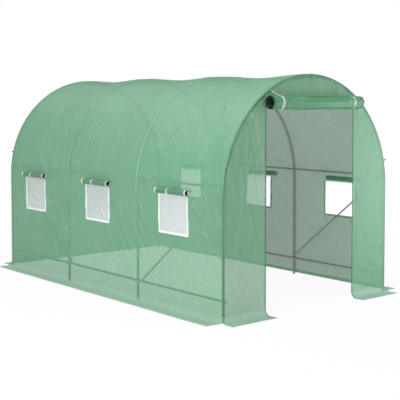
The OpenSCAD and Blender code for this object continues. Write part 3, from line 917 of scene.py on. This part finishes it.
def add_ribbon(cloth, path, width, across=(1, 0, 0)):
    """Adds a flat ribbon along a path; across is the way of its width."""
    side = np.array(across, float)
    rows, pairs, run = [], [], 0.0
    for k, p in enumerate(path):
        ahead = np.array(path[min(k + 1, len(path) - 1)]) - np.array(path[max(k - 1, 0)])
        ahead /= max(np.linalg.norm(ahead), 1e-9)
        wide = side - ahead * side.dot(ahead)
        wide /= max(np.linalg.norm(wide), 1e-9)
        if k:
            run += math.dist(p, path[k - 1])
        rows.append([tuple(np.array(p) + wide * width * s) for s in (-0.5, -0.17, 0.17, 0.5)])
        pairs.append([(width * s, run) for s in (0, 0.33, 0.67, 1)])
    cloth.grid(rows, pairs)


def add_knot(cloth, place, size):
    """Adds a small flattened knot of ribbon."""
    x, y, z = place
    rows, pairs = [], []
    for i in range(9):
        v = math.pi * i / 8
        row = []
        for j in range(13):
            u = math.tau * j / 12
            r = size * (0.55 + 0.08 * math.cos(3 * u + v * 2)) * max(math.sin(v), 0.02)
            out = size * 0.25 + r * math.sin(u) * 0.7
            row.append((x + r * math.cos(u) * 0.9, y - out, z - size * 0.6 * math.cos(v)))
        rows.append(row)
        pairs.append([(size * j / 6, size * i / 6) for j in range(13)])
    cloth.grid(rows, pairs)


# Pieces

class POLYTUNNEL_OT_stage(Operator):
    """White floor, soft light and the camera"""

    bl_idname = "polytunnel.stage"
    bl_label = "Stage"

    def execute(self, context):
        settings = context.scene.tunnel_stage
        self.camera(context.scene, settings)
        self.floor()
        self.world(context.scene, settings)
        # Lamps: name, place, aim, width, height, power in watts
        lamps = [
            ("key_lamp", (-7.4, -3.0, 3.6), (0, 0.1, 0.8), 3.0, 2.4, 222),
            ("top_lamp", (-2.8, -2.0, 6.2), (-0.7, -1.1, 1.5), 2.4, 2.4, 126),
            ("rim_lamp", (-0.3, 6.2, 8.6), (-0.5, -0.8, 1.7), 5.0, 2.5, 64),
            ("shoulder_lamp", (-1.3, 4.8, 6.8), (-0.75, -1.3, 1.7), 1.4, 1.0, 54),
            ("fill_lamp", (2.3, -3.1, 1.3), (0.8, -1.75, 1.0), 1.0, 1.8, 37),
        ]
        for lamp in lamps:
            self.lamp(*lamp)
        context.scene.view_settings.view_transform = "Standard"
        return {"FINISHED"}

    def camera(self, scene, settings):
        """Camera at the photograph's viewpoint."""
        lens = bpy.data.cameras.new("camera")
        lens.lens = settings.lens
        lens.shift_x = settings.shift_x
        lens.shift_y = settings.shift_y
        seen = bpy.data.objects.new("camera", lens)
        seen.location = settings.place
        seen.rotation_euler = (math.pi / 2 - settings.dip, 0, -settings.turn)
        collection().objects.link(seen)
        scene.camera = seen

    def lamp(self, name, place, aim, width, height, power):
        """Area lamp that points at aim; the camera doesn't see the lamp itself."""
        light = bpy.data.lights.new(name, "AREA")
        light.shape = "RECTANGLE"
        light.size = width
        light.size_y = height
        light.energy = power
        made = bpy.data.objects.new(name, light)
        made.visible_camera = False
        made.location = place
        made.rotation_euler = (Vector(aim) - Vector(place)).to_track_quat("-Z", "Y").to_euler()
        collection().objects.link(made)

    def floor(self):
        """Large white floor just under the skirts."""
        half = 40.0
        low = -0.0005
        ring = [(-half, -half, low), (half, -half, low), (half, half, low), (-half, half, low)]
        made = mesh_object("floor", ring, [(0, 1, 2, 3)], self.floor_material(), smooth=False)

    def floor_material(self):
        """White studio floor: the camera sees it almost pure white, with a faint shadow."""
        made, tree = new_material("studio_floor")
        ray = add(tree, "ShaderNodeLightPath").outputs
        seen = add(tree, "ShaderNodeMath", {
            0: ray["Is Camera Ray"], 1: ray["Is Glossy Ray"]}, operation="MAXIMUM")
        seen = add(tree, "ShaderNodeMath", {0: seen, 1: ray["Is Transmission Ray"]}, operation="MAXIMUM")
        matt = add(tree, "ShaderNodeBsdfDiffuse", {"Color": (0.86, 0.86, 0.86, 1)})
        glow = add(tree, "ShaderNodeEmission", {"Color": (1, 1, 1, 1), "Strength": 1.0})
        place = add(tree, "ShaderNodeNewGeometry").outputs["Position"]
        far = add(tree, "ShaderNodeVectorMath", {0: place}, operation="LENGTH").outputs["Value"]
        near = add(tree, "ShaderNodeMapRange", {0: far, 1: 2.4, 2: 5.0, 3: 0.93, 4: 1.0})
        share = add(tree, "ShaderNodeMath", {0: seen, 1: near}, operation="MULTIPLY")
        mixed = add(tree, "ShaderNodeMixShader", {0: share, 1: matt, 2: glow})
        add(tree, "ShaderNodeOutputMaterial", {0: mixed})
        return made

    def world(self, scene, settings):
        """White surroundings: full white to the eye, weaker as a light."""
        world = bpy.data.worlds.new("studio")
        world.use_nodes = True
        tree = world.node_tree
        tree.nodes.clear()
        ray = add(tree, "ShaderNodeLightPath").outputs
        seen = add(tree, "ShaderNodeMath", {
            0: ray["Is Camera Ray"], 1: ray["Is Transmission Ray"]}, operation="MAXIMUM")
        strength = add(tree, "ShaderNodeMapRange", {0: seen, 3: settings.world, 4: 1.0})
        sky = add(tree, "ShaderNodeBackground", {"Color": (1, 1, 1, 1), "Strength": strength})
        add(tree, "ShaderNodeOutputWorld", {0: sky})
        scene.world = world


class POLYTUNNEL_OT_tubes(Operator):
    """Finishes of the hoops, rails, braces, bolts and caps"""

    bl_idname = "polytunnel.tubes"
    bl_label = "Frame finishes"

    def execute(self, context):
        tubes = [f"{hoop}_{part}" for hoop in HOOPS for part in ("left_leg", "right_leg", "arch")]
        tubes += ["ridge_rail"]
        tubes += [f"{side}_{part}" for side in SIDES for part in ("upper_rail", "lower_rail", "braces")]
        for name in tubes:
            self.finish(name, zinc_material())
        self.finish("inner_bolts", bolt_material())
        self.finish("corner_bolts", cap_material())
        self.finish("rail_end_plugs", cap_material())
        self.screws(context.scene.tunnel_frame)
        return {"FINISHED"}

    def finish(self, node, material):
        """Gives a node of the frame its material."""
        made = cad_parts[node]
        made.data.materials.clear()
        made.data.materials.append(material)

    def screws(self, settings):
        """Screws that hold the rails to the hoops, seen from inside."""
        ring = middle("right_lower_rail", 0)
        rise = math.asin((middle("right_upper_rail", 2) - SPRING_Z) / ring)
        right_drop, left_drop = (middle(side + "_lower_rail", 2) - SPRING_Z for side in ("right", "left"))
        r = ring - RAIL_R
        dots, ways = [], []
        for turn, drop in (
            (0, right_drop), (rise, 0), (math.pi / 2, 0), (math.pi - rise, 0), (math.pi, left_drop),
        ):
            for y in HOOP_YS:
                dots.append((r * math.cos(turn), y, SPRING_Z + drop + r * math.sin(turn)))
                ways.append((-math.cos(turn), 0, -math.sin(turn)))
        mesh = bpy.data.meshes.new("rail_screws")
        mesh.from_pydata(dots, [], [])
        way = mesh.attributes.new("away", "FLOAT_VECTOR", "POINT")
        way.data.foreach_set("vector", np.array(ways).ravel())
        made = bpy.data.objects.new("rail_screws", mesh)
        collection().objects.link(made)
        run_tree(made, screw_tree(), {"Head": settings.screw_d, "Material": bolt_material()})
        settle(made, "zinc_bolts")


class POLYTUNNEL_OT_cover(Operator):
    """Roof, walls and side skirts as one sewn sheet"""

    bl_idname = "polytunnel.cover"
    bl_label = "Main cover"

    def execute(self, context):
        cover = context.scene.tunnel_cover
        half, low, high = window_box()
        windows = {side: [(y - half, y + half) for y in window_ys(side)] for side in (-1, 1)}
        cols = self.arc_lengths(cover, low, high)
        rows = self.sections(cover, windows)

        def hole(i, j):
            s = (cols[j] + cols[j + 1]) / 2
            y = (rows[i][0] + rows[i + 1][0]) / 2
            z = SPRING_Z - (abs(s) - ROOF_S)
            return low < z < high and any(a < y < b for a, b in windows[-1 if s < 0 else 1])

        cloth = Cloth()
        points = [[side_point(s, y, 0.0, phi) for s in cols] for y, phi in rows]
        pairs = [[(s, p[1]) for s, p in zip(cols, row)] for row in points]
        cloth.grid(points, pairs, lambda i, j: not hole(i, j))
        made = cloth.make("main_cover", film_material("woven_roof_film"), (0, 0, 1))
        settle(made, "cover_mesh",
               "left_wall_cover", "right_wall_cover", "roof_cover", "left_skirt", "right_skirt")
        return {"FINISHED"}

    def arc_lengths(self, cover, low, high):
        """Columns from skirt to skirt, with one at each seam, edge of a window and step of the flare."""
        marks = [0, ROOF_S, ROOF_S + SPRING_Z - high, ROOF_S + SPRING_Z - low, FOOT_S]
        arc = stations(marks[:2], cover.step * 1.5)
        wall = stations(marks[1:], cover.step)
        flare = [FOOT_S + (FLARE_S - FOOT_S) * k / 8 for k in range(1, 9)] + [FOOT_S + CORNER_BEND]
        strip = stations([FLARE_S, SKIRT_S], cover.step)
        right = arc + wall[1:] + sorted(flare) + strip[1:]
        return [-s for s in reversed(right[1:])] + right

    def sections(self, cover, windows):
        """Rows along the tunnel, close beside the inner hoops, and on round the end hoops."""
        edges = [y for side in windows.values() for pair in side for y in pair]
        near = [hoop + sign * gap for hoop in HOOP_YS[1:-1] for gap in BESIDE_HOOP for sign in (-1, 1)]
        along = [(y, 0.0) for y in stations(HOOP_YS + edges + near, cover.step)]
        bend = [math.radians(a) for a in (15, 30, 45)]
        return [(-HALF_L, p) for p in reversed(bend)] + along + [(HALF_L, p) for p in bend]


class POLYTUNNEL_OT_ends(Operator):
    """End panels with the doorway and the end skirts"""

    bl_idname = "polytunnel.ends"
    bl_label = "End covers"

    def execute(self, context):
        front = self.panel(context, -1, "front_cover")
        settle(front, "cover_mesh", "front_left_panel", "front_right_panel", "front_top_panel",
               "front_left_skirt", "front_right_skirt")
        back = self.panel(context, 1, "back_cover")
        settle(back, "cover_mesh", "back_panel", "back_skirt")
        for end, name in ((-1, "front_hem"), (1, "back_hem")):
            self.hem(context, end, name)
        return {"FINISHED"}

    def inner_edge(self, a):
        """Half width of the doorway, or of the middle of a closed end, at one level."""
        if a < DOOR_A:
            return DOOR_X * level(a)[0] / math.sin(DOOR_A / ARCH_R) / ARCH_R
        return DOOR_X

    def panel(self, context, end, name):
        """One end of the tunnel as a single sewn sheet."""
        cover = context.scene.tunnel_cover
        bend = [FOOT_A + FLARE_ARC * k / 8 for k in range(1, 9)]
        levels = stations([0, DOOR_A, ARCH_A, FOOT_A], cover.step) + sorted([*bend, FOOT_A + CORNER_BEND])
        levels += stations([bend[-1], END_A], cover.step)[1:]
        turns = [math.radians(t) for t in (45, 60, 75)]
        # Faces across each panel beside the doorway, and between the two panels
        beside, between = 34, 78
        cloth = Cloth()
        for side in (-1, 1):
            points, pairs = [], []
            for a in levels:
                wide = level(a)[0]
                step = self.inner_edge(a) - wide
                row = [rim_point(side, a, end, t) for t in turns]
                row += [end_point(side * (wide + step * k / beside), a, end) for k in range(beside + 1)]
                points.append(row)
                pairs.append([(p[0], -a) for p in row])
            cloth.grid(points, pairs)
        points, pairs = [], []
        for a in [v for v in levels if v <= DOOR_A + 1e-6 or end > 0]:
            inner = self.inner_edge(a)
            row = [end_point(-inner + 2 * inner * k / between, a, end) for k in range(between + 1)]
            points.append(row)
            pairs.append([(p[0], -a) for p in row])
        cloth.grid(points, pairs)
        made = cloth.make(name, film_material("woven_end_film"))
        face_one_way(made)
        turn_outwards(made, (0, end, 0))
        return made

    def hem(self, context, end, name):
        """Doubled hem that follows an end hoop from foot to foot."""
        cover = context.scene.tunnel_cover
        # How far its middle stands off the film, and how thick it is
        lift, thick = 0.0009, 0.0008
        levels = stations([0, ARCH_A, FOOT_A], 0.02)
        cloth = Cloth()
        for side in (-1, 1):
            points, pairs = [], []
            for a in levels:
                wide, z, _, t, _ = level(a)
                # Towards the legs the hem narrows to the seam allowance round the corner
                share = ease((ARCH_A + 0.05 - a) / 0.5)
                row = [rim_point(side, a, end, math.radians(30 + 15 * (k + share)), lift) for k in range(4)]
                for step in (0.35, 0.7, 1.0):
                    r = ARCH_R - cover.hem_w * step * share
                    high = z if a > ARCH_A else SPRING_Z + r * math.cos(t)
                    inner = r if a > ARCH_A else r * math.sin(t)
                    flat = Vector((side * inner, end * (HALF_L + EDGE_R + lift), high))
                    row.append(tuple(Vector(row[3]).lerp(flat, share)))
                points.append(row)
                pairs.append([(side * (wide + 0.008 * (3 - k)), -a) for k in range(len(row))])
            # Both halves face the same way, so that they join at the crown
            cloth.grid([row[::side] for row in points], [row[::side] for row in pairs])
        # The hem's darker tone is painted shade of the hoop's tube behind it
        made = cloth.make(name, film_material("hemmed_film"))
        turn_outwards(made, (0, end, 0))
        thicken(made, thick)
        settle(made, "cover_hem")


class POLYTUNNEL_OT_door(Operator):
    """Rolled door flap, its ties, edge tapes and zips"""

    bl_idname = "polytunnel.door"
    bl_label = "Door"

    def execute(self, context):
        self.edges(context)
        self.flap(context)
        self.ties(context)
        return {"FINISHED"}

    def edges(self, context):
        """Tape and zip along both sides of the doorway, down to the skirt's tip."""
        door = context.scene.tunnel_door
        levels = stations([DOOR_A + 0.02, ARCH_A, FOOT_A], 0.02)
        levels += stations([FOOT_A, FOOT_A + FLARE_ARC, END_A], 0.008)[1:]
        # How far the tape stands off the film, from the doorway's edge outwards
        lifts = (-0.0006, 0.0012, 0.0014, 0.0014, 0.0012, 0.0002)
        across = [door.hem_w * k / (len(lifts) - 1) for k in range(len(lifts))]
        edge = DOOR_X - 0.001
        # Length and width of a tooth of the zip, its place on the tape and how far it stands off the film
        long, wide, inset, proud = 0.0016, 0.0052, 0.004, 0.0022
        cloth = Cloth()
        teeth = []
        for side in (-1, 1):
            points = [
                [end_point(side * (edge + out), a, -1, lift) for out, lift in zip(across, lifts)]
                for a in levels]
            cloth.grid(points, [[(out, -a) for out in across] for a in levels])
            teeth.append([end_point(side * (edge + inset), a, -1, proud) for a in levels if a < FOOT_A])
        made = cloth.make("door_edge_tapes", film_material("edge_tape"), (0, -1, 0))
        settle(made, "cover_hem", "door_hems")
        teeth_look = thread_material("zip_teeth", "#4E8A66", "#66A57F")
        zips = bars("door_zips", teeth, door.zip_pitch, long, wide, teeth_look)
        settle(zips, "cover_hem")

    def flap(self, context):
        """Door flap rolled up in front of the top panel."""
        door = context.scene.tunnel_door
        ties = self.tie_places(door)
        xs = stations([-DOOR_ROLL_L / 2, *ties, DOOR_ROLL_L / 2], 0.014)
        # The flap starts above the roll's middle and hangs down behind it
        start = 0.052
        back = -HALF_L - EDGE_R - 0.0022
        rows = [[(x, back, DOOR_ROLL_Z + start - start * k / 4) for x in xs] for k in range(4)]
        for turn, radius in roll_path(door.turns, DOOR_ROLL_R, door.layer, 30):
            rows.append([self.roll_point(x, turn, radius, ties) for x in xs])
        runs = unrolled(rows)
        cloth = Cloth()
        cloth.grid(rows, [[(x, run) for x in xs] for run in runs])
        made = cloth.make("door_flap", film_material("rolled_door_film"))
        made.data.materials.append(film_material("inner_layers"))
        made.data.materials.append(film_material("edge_tape"))
        self.darken(made)
        settle(made, "flap_roll", "door_roll")

    def roll_point(self, x, turn, radius, ties):
        """Point of the rolled door flap: drawn in at the ties, fluted and folded between them."""
        pinch = sum(bell((x - t) / 0.02) for t in ties)
        ring = ease((turn - math.pi) / 1.2)
        r = radius * (1 - 0.05 * pinch * ring)
        r += 0.0018 * rough(x * 2.6, turn * 0.45, 91) * ring
        r += 0.0042 * ring * (folds(x * 1.2, turn * 2.2 + x, 95) - 0.5) * (1 - pinch)
        r += 0.0026 * ring * math.cos(7 * turn + 1.6 * rough(x * 1.5, 0, 93)) * (1 - pinch)
        droop = 0.003 * math.cos(math.pi * x / DOOR_ROLL_L) * ring
        slip = 0.004 * rough(turn * 0.8, 3.0, 97) * max(0.0, abs(x) * 2 / DOOR_ROLL_L - 0.9) * 10
        return (x + math.copysign(slip, x), DOOR_ROLL_Y - r * math.cos(turn),
                DOOR_ROLL_Z - droop + r * math.sin(turn))

    def darken(self, made):
        """Gives the inner layers painted shade, and the hems at both ends of the roll their own finish."""
        # Depth of the outer layers, and width of a hem
        outer, hem = 0.008, 0.022
        for face in made.data.polygons:
            gap = math.hypot(face.center.y - DOOR_ROLL_Y, face.center.z - DOOR_ROLL_Z)
            # Faces inside the outer layers get painted shade
            if gap < DOOR_ROLL_R - outer:
                face.material_index = 1
            elif abs(face.center.x) > DOOR_ROLL_L / 2 - hem:
                face.material_index = 2

    def tie_places(self, door):
        """Places of the two ties along the doorway."""
        low, high = corners("door_ties")
        return [float(low[0]) + door.tie_w / 2, float(high[0]) - door.tie_w / 2]

    def on_roll(self, x, degrees, r):
        """Point round the roll, turned from its top towards the front."""
        t = math.radians(degrees)
        return (x, DOOR_ROLL_Y - r * math.sin(t), DOOR_ROLL_Z + r * math.cos(t))

    def ties(self, context):
        """Two ribbons with knots and tails; the left one's strap slants, the right one's is straight."""
        door = context.scene.tunnel_door
        tape = tape_material("tie_tape", "#DCEBE2")
        wall = -HALF_L - EDGE_R - 0.003
        r = DOOR_ROLL_R * 0.972
        left, right = self.tie_places(door)
        knot, tail = self.knot_and_tail(left, r)
        strap = [(left + lean, wall - out, DOOR_ROLL_Z + up) for lean, out, up in (
            (-0.042, 0, 0.1), (-0.0294, 0.008, 0.087), (-0.0168, 0.026, 0.074))]
        short = [knot] + [(left + off, knot[1] - out, knot[2] - down) for off, out, down in (
            (0.007, 0.008, 0.012), (0.009, 0.014, 0.03))]
        end = (left - 0.028, tail[-1][1] - 0.002, DOOR_ROLL_Z - 0.066)
        first = self.ribbon(
            "door_tie_1", self.loop(left, r), [*strap, knot], [[*tail, end], short], knot, door, tape)
        knot, tail = self.knot_and_tail(right, r)
        strap = [(right, wall - out, DOOR_ROLL_Z + up) for out, up in (
            (0, 0.05), (0.004, 0.04), (0.008, 0.03))]
        second = self.ribbon("door_tie_2", self.loop(right, r), strap, [tail], knot, door, tape)
        settle(first, "white_tape", "door_ties")
        settle(second, "white_tape")

    def loop(self, x, r):
        """Ring of a tie, from the knot in front over the top, behind the roll and up from below."""
        found = []
        for k in range(41):
            t = math.radians(100) - math.tau * k / 40
            _, y, z = self.on_roll(x, math.degrees(t + math.pi / 2 - 0.35), r)
            found.append((x + 0.005 * math.sin(2 * t), y, z - 0.002))
        return found

    def knot_and_tail(self, x, r):
        """Place of a tie's knot, and its tail that lies against the roll."""
        _, y, z = self.on_roll(x, 40, r)
        knot = (x + 0.001, y - 0.003, z)
        slips = ((65, -0.006), (90, -0.013), (112, -0.02))
        return knot, [knot] + [self.on_roll(x + slip, turn, r + 0.004) for turn, slip in slips]

    def ribbon(self, name, loop, strap, tails, knot, door, material):
        """One tie: ring round the roll, strap to the panel, tails and a knot."""
        width = door.tie_w
        cloth = Cloth()
        add_ribbon(cloth, loop, width)
        add_ribbon(cloth, smooth_path(strap), width * 0.8)
        for path in tails:
            add_ribbon(cloth, smooth_path(path), width * 0.62)
        add_knot(cloth, knot, width * 0.5)
        made = cloth.make(name, material)
        thicken(made, 0.0012)
        return made


class POLYTUNNEL_OT_windows(Operator):
    """Window nets, borders, rolled flaps and their ties"""

    bl_idname = "polytunnel.windows"
    bl_label = "Windows"

    def execute(self, context):
        settings = context.scene.tunnel_windows
        for side_name, side in SIDES.items():
            for k, y in enumerate(window_ys(side)):
                mark = f"{side_name}_window_{k + 1}"
                border = self.border(settings, mark, side, y)
                net = self.net(settings, mark, side, y, k)
                flap, flat = self.flap(settings, mark, side, y, k)
                tie = self.tie(settings, mark, side, y, k)
                # The first window of a side stands for that side's nodes, which hold all three
                first = [] if k else [f"{side_name}_window"]
                settle(border, "white_tape", *[name + "_borders" for name in first])
                settle(net, "insect_net", *[name + "_nets" for name in first])
                settle(flap, "flap_roll", *[name + "_rolls" for name in first])
                settle(tie, "white_tape", *(["window_ties"] if first and side < 0 else []))
        self.stitches(settings)
        return {"FINISHED"}

    def wall(self, side, y, z, lift):
        """Point on a side wall at a height, lifted off the film."""
        return side_point(side * (ROOF_S + SPRING_Z - z), y, lift)

    def border_path(self, y, out):
        """Line round three sides of a window, at a distance from its edge."""
        half, low, high = window_box()
        a, b, c = half + out, low - out, high
        marks = [(-a, c), (-a, b), (a, b), (a, c)]
        found = [marks[0]]
        for (y0, z0), (y1, z1) in zip(marks, marks[1:]):
            n = 22
            found += [(y0 + (y1 - y0) * k / n, z0 + (z1 - z0) * k / n) for k in range(1, n + 1)]
        return [(y + p, q) for p, q in found]

    def border(self, settings, mark, side, y):
        """White tape sewn round the sides and foot of a window."""
        wide, thick = settings.border_w, settings.border_t
        # Section of the tape: share of its width and how far it stands off the wall
        section = [
            (0.0, -0.0012), (0.0, thick * 0.5), (0.06, thick), (0.5, thick * 0.85),
            (0.94, thick), (1.0, thick * 0.5), (1.0, 0.0)]
        rows, pairs = [], []
        for share, lift in section:
            path = self.border_path(y, wide * share - 0.0005)
            rows.append([self.wall(side, p, q, lift) for p, q in path])
            pairs.append([(wide * share, j * 0.016) for j in range(len(path))])
        cloth = Cloth()
        cloth.grid(rows, pairs)
        return cloth.make(mark + "_border", webbing_material(), (side, 0, 0))

    def net(self, settings, mark, side, y, k):
        """Insect net just behind the wall, with a few slack folds at its lower corner."""
        half, low, high = window_box()
        lap = settings.net_lap
        ys = stations([-half - lap, half + lap], 0.012)
        zs = stations([low - lap, high + lap], 0.012)
        # The net is gathered at its lower corner towards the door, and on the last window in the middle
        lean = (-1, -0.9, -0.1)[k]
        rows = []
        for z in zs:
            row = []
            for p in ys:
                inner = ease((half - abs(p)) / 0.05) * ease((z - low) / 0.05) * ease((high - z) / 0.05)
                near = bell(math.dist((p, z), (lean * half * 0.8, low + 0.05)) / 0.09)
                fold = 0.013 * near * math.sin((p * lean + z) * 80)
                slack = -0.004 * inner + 0.002 * rough(p * 9, z * 9, 101 + k)
                row.append(self.wall(side, y + p, z, -0.0016 + (fold + slack) * inner))
            rows.append(row)
        cloth = Cloth()
        cloth.grid(rows, [[(p, z) for p in ys] for z in zs])
        return cloth.make(mark + "_net", net_material(), (side, 0, 0))

    def flap(self, settings, mark, side, y, k):
        """Window flap rolled up above its window, with white tape along both ends, and its full length."""
        y += WIN_ROLL_SLIP[side]
        end = WIN_ROLL_L / 2
        band = settings.border_w * 0.6
        tie_p = WIN_TIE_SLIP[side] - WIN_ROLL_SLIP[side]
        along = stations([-end, -end + band, tie_p, end - band, end], 0.0115)
        # The sewn edge starts above the roll's middle, hangs behind it and reaches past its door end
        start = 0.022
        back = side * (WALL_X + 0.0014)
        past = [0.02 * ease((-p / end - 0.7) / 0.3) for p in along]
        rows = [
            [(back, y + p - more, WIN_ROLL_Z + start - start * n / 4) for p, more in zip(along, past)]
            for n in range(4)]
        for turn, radius in roll_path(settings.turns, WIN_ROLL_R, settings.layer, 28):
            rows.append([self.roll_point(side, y, p, turn, radius, tie_p, 111 + k + side) for p in along])
        runs = unrolled(rows)
        cloth = Cloth()
        cloth.grid(rows, [[(p, run) for p in along] for run in runs])
        made = cloth.make(mark + "_flap", film_material("rolled_film"))
        made.data.materials.append(webbing_material())
        made.data.materials.append(film_material("inner_layers"))
        # Depth of the outer layers
        outer = 0.0065
        for face in made.data.polygons:
            rolled = abs(face.center.x) > WALL_X + 0.004
            gap = math.hypot(abs(face.center.x) - WIN_ROLL_X, face.center.z - WIN_ROLL_Z)
            # Faces deeper in the roll get painted shade
            if gap < WIN_ROLL_R - outer:
                face.material_index = 2
            else:
                face.material_index = int(rolled and abs(face.center.y - y) > end - band)
        return made, runs[-1]

    def roll_point(self, side, y, p, turn, radius, tie_p, seed):
        """Point of a rolled window flap, drawn in at its tie and uneven at its ends."""
        ring = ease((turn - math.pi) / 1.2)
        pinch = bell((p - tie_p) / 0.018)
        r = radius * (1 - 0.06 * pinch * ring)
        r += 0.0011 * ring * (rough(p * 12, turn * 0.9, seed) - 0.5) * (1 - pinch)
        slip = 0.002 * rough(turn * 0.9, 2.0, seed + 7) * max(0.0, abs(p) * 2 / WIN_ROLL_L - 0.85) * 6
        return (side * (WIN_ROLL_X + r * math.cos(turn)), y + p + math.copysign(slip, p),
                WIN_ROLL_Z + r * math.sin(turn))

    def tie(self, settings, mark, side, y, k):
        """Ribbon round the middle of a rolled flap."""
        r = WIN_ROLL_R * 0.965
        y += WIN_TIE_SLIP[side]
        loop = []
        for n in range(33):
            t = math.tau * n / 32
            x = WIN_ROLL_X + r * math.cos(t)
            loop.append((side * x, y + 0.002 * math.sin(t + k), WIN_ROLL_Z + r * math.sin(t)))
        out = side * (WIN_ROLL_X + r)
        tail = [(out + side * off, y + slip, WIN_ROLL_Z - down) for off, slip, down in (
            (0, 0, 0), (0.003, 0.004, 0.012), (0.002, 0.007, 0.030))]
        cloth = Cloth()
        add_ribbon(cloth, loop, settings.tie_w, (0, 1, 0))
        add_ribbon(cloth, smooth_path(tail), settings.tie_w * 0.5, (0, 1, 0))
        made = cloth.make(mark + "_tie", webbing_material())
        thicken(made, 0.001)
        return made

    def stitches(self, settings):
        """Two rows of stitches in every border."""
        long, wide = settings.stitch * 0.6, 0.0011
        paths = []
        for side in SIDES.values():
            for y in window_ys(side):
                for share in (0.2, 0.8):
                    path = self.border_path(y, settings.border_w * share)
                    paths.append([self.wall(side, p, q, settings.border_t) for p, q in path])
        thread = thread_material("sewing_thread", "#B9CFC2", "#DCE8E0")
        made = bars("window_stitches", paths, settings.stitch, long, wide, thread)
        settle(made, "white_tape")


class POLYTUNNEL_PT_panel(Panel):
    """Lists the pieces and their settings"""

    bl_idname = "POLYTUNNEL_PT_panel"
    bl_label = "Polytunnel"
    bl_space_type = "VIEW_3D"
    bl_region_type = "UI"
    bl_category = "Polytunnel"

    def draw(self, context):
        for piece in PIECES:
            self.layout.operator(piece.bl_idname, text=piece.bl_label)
        for name in GROUPS:
            group = getattr(context.scene, name)
            box = self.layout.box()
            box.label(text=name.replace("_", " ").capitalize())
            for prop in group.__annotations__:
                box.prop(group, prop)


PIECES = [
    POLYTUNNEL_OT_stage,
    POLYTUNNEL_OT_tubes,
    POLYTUNNEL_OT_cover,
    POLYTUNNEL_OT_ends,
    POLYTUNNEL_OT_door,
    POLYTUNNEL_OT_windows,
]


def register():
    for cls in [*GROUPS.values(), *PIECES, POLYTUNNEL_PT_panel]:
        bpy.utils.register_class(cls)
    for name, cls in GROUPS.items():
        setattr(bpy.types.Scene, name, PointerProperty(type=cls))


def unregister():
    for name in GROUPS:
        delattr(bpy.types.Scene, name)
    for cls in reversed([*GROUPS.values(), *PIECES, POLYTUNNEL_PT_panel]):
        bpy.utils.unregister_class(cls)


def main():
    """Makes every piece."""
    register()
    for piece in PIECES:
        group, name = piece.bl_idname.split(".")
        getattr(getattr(bpy.ops, group), name)()


if __name__ == "__main__":
    main()
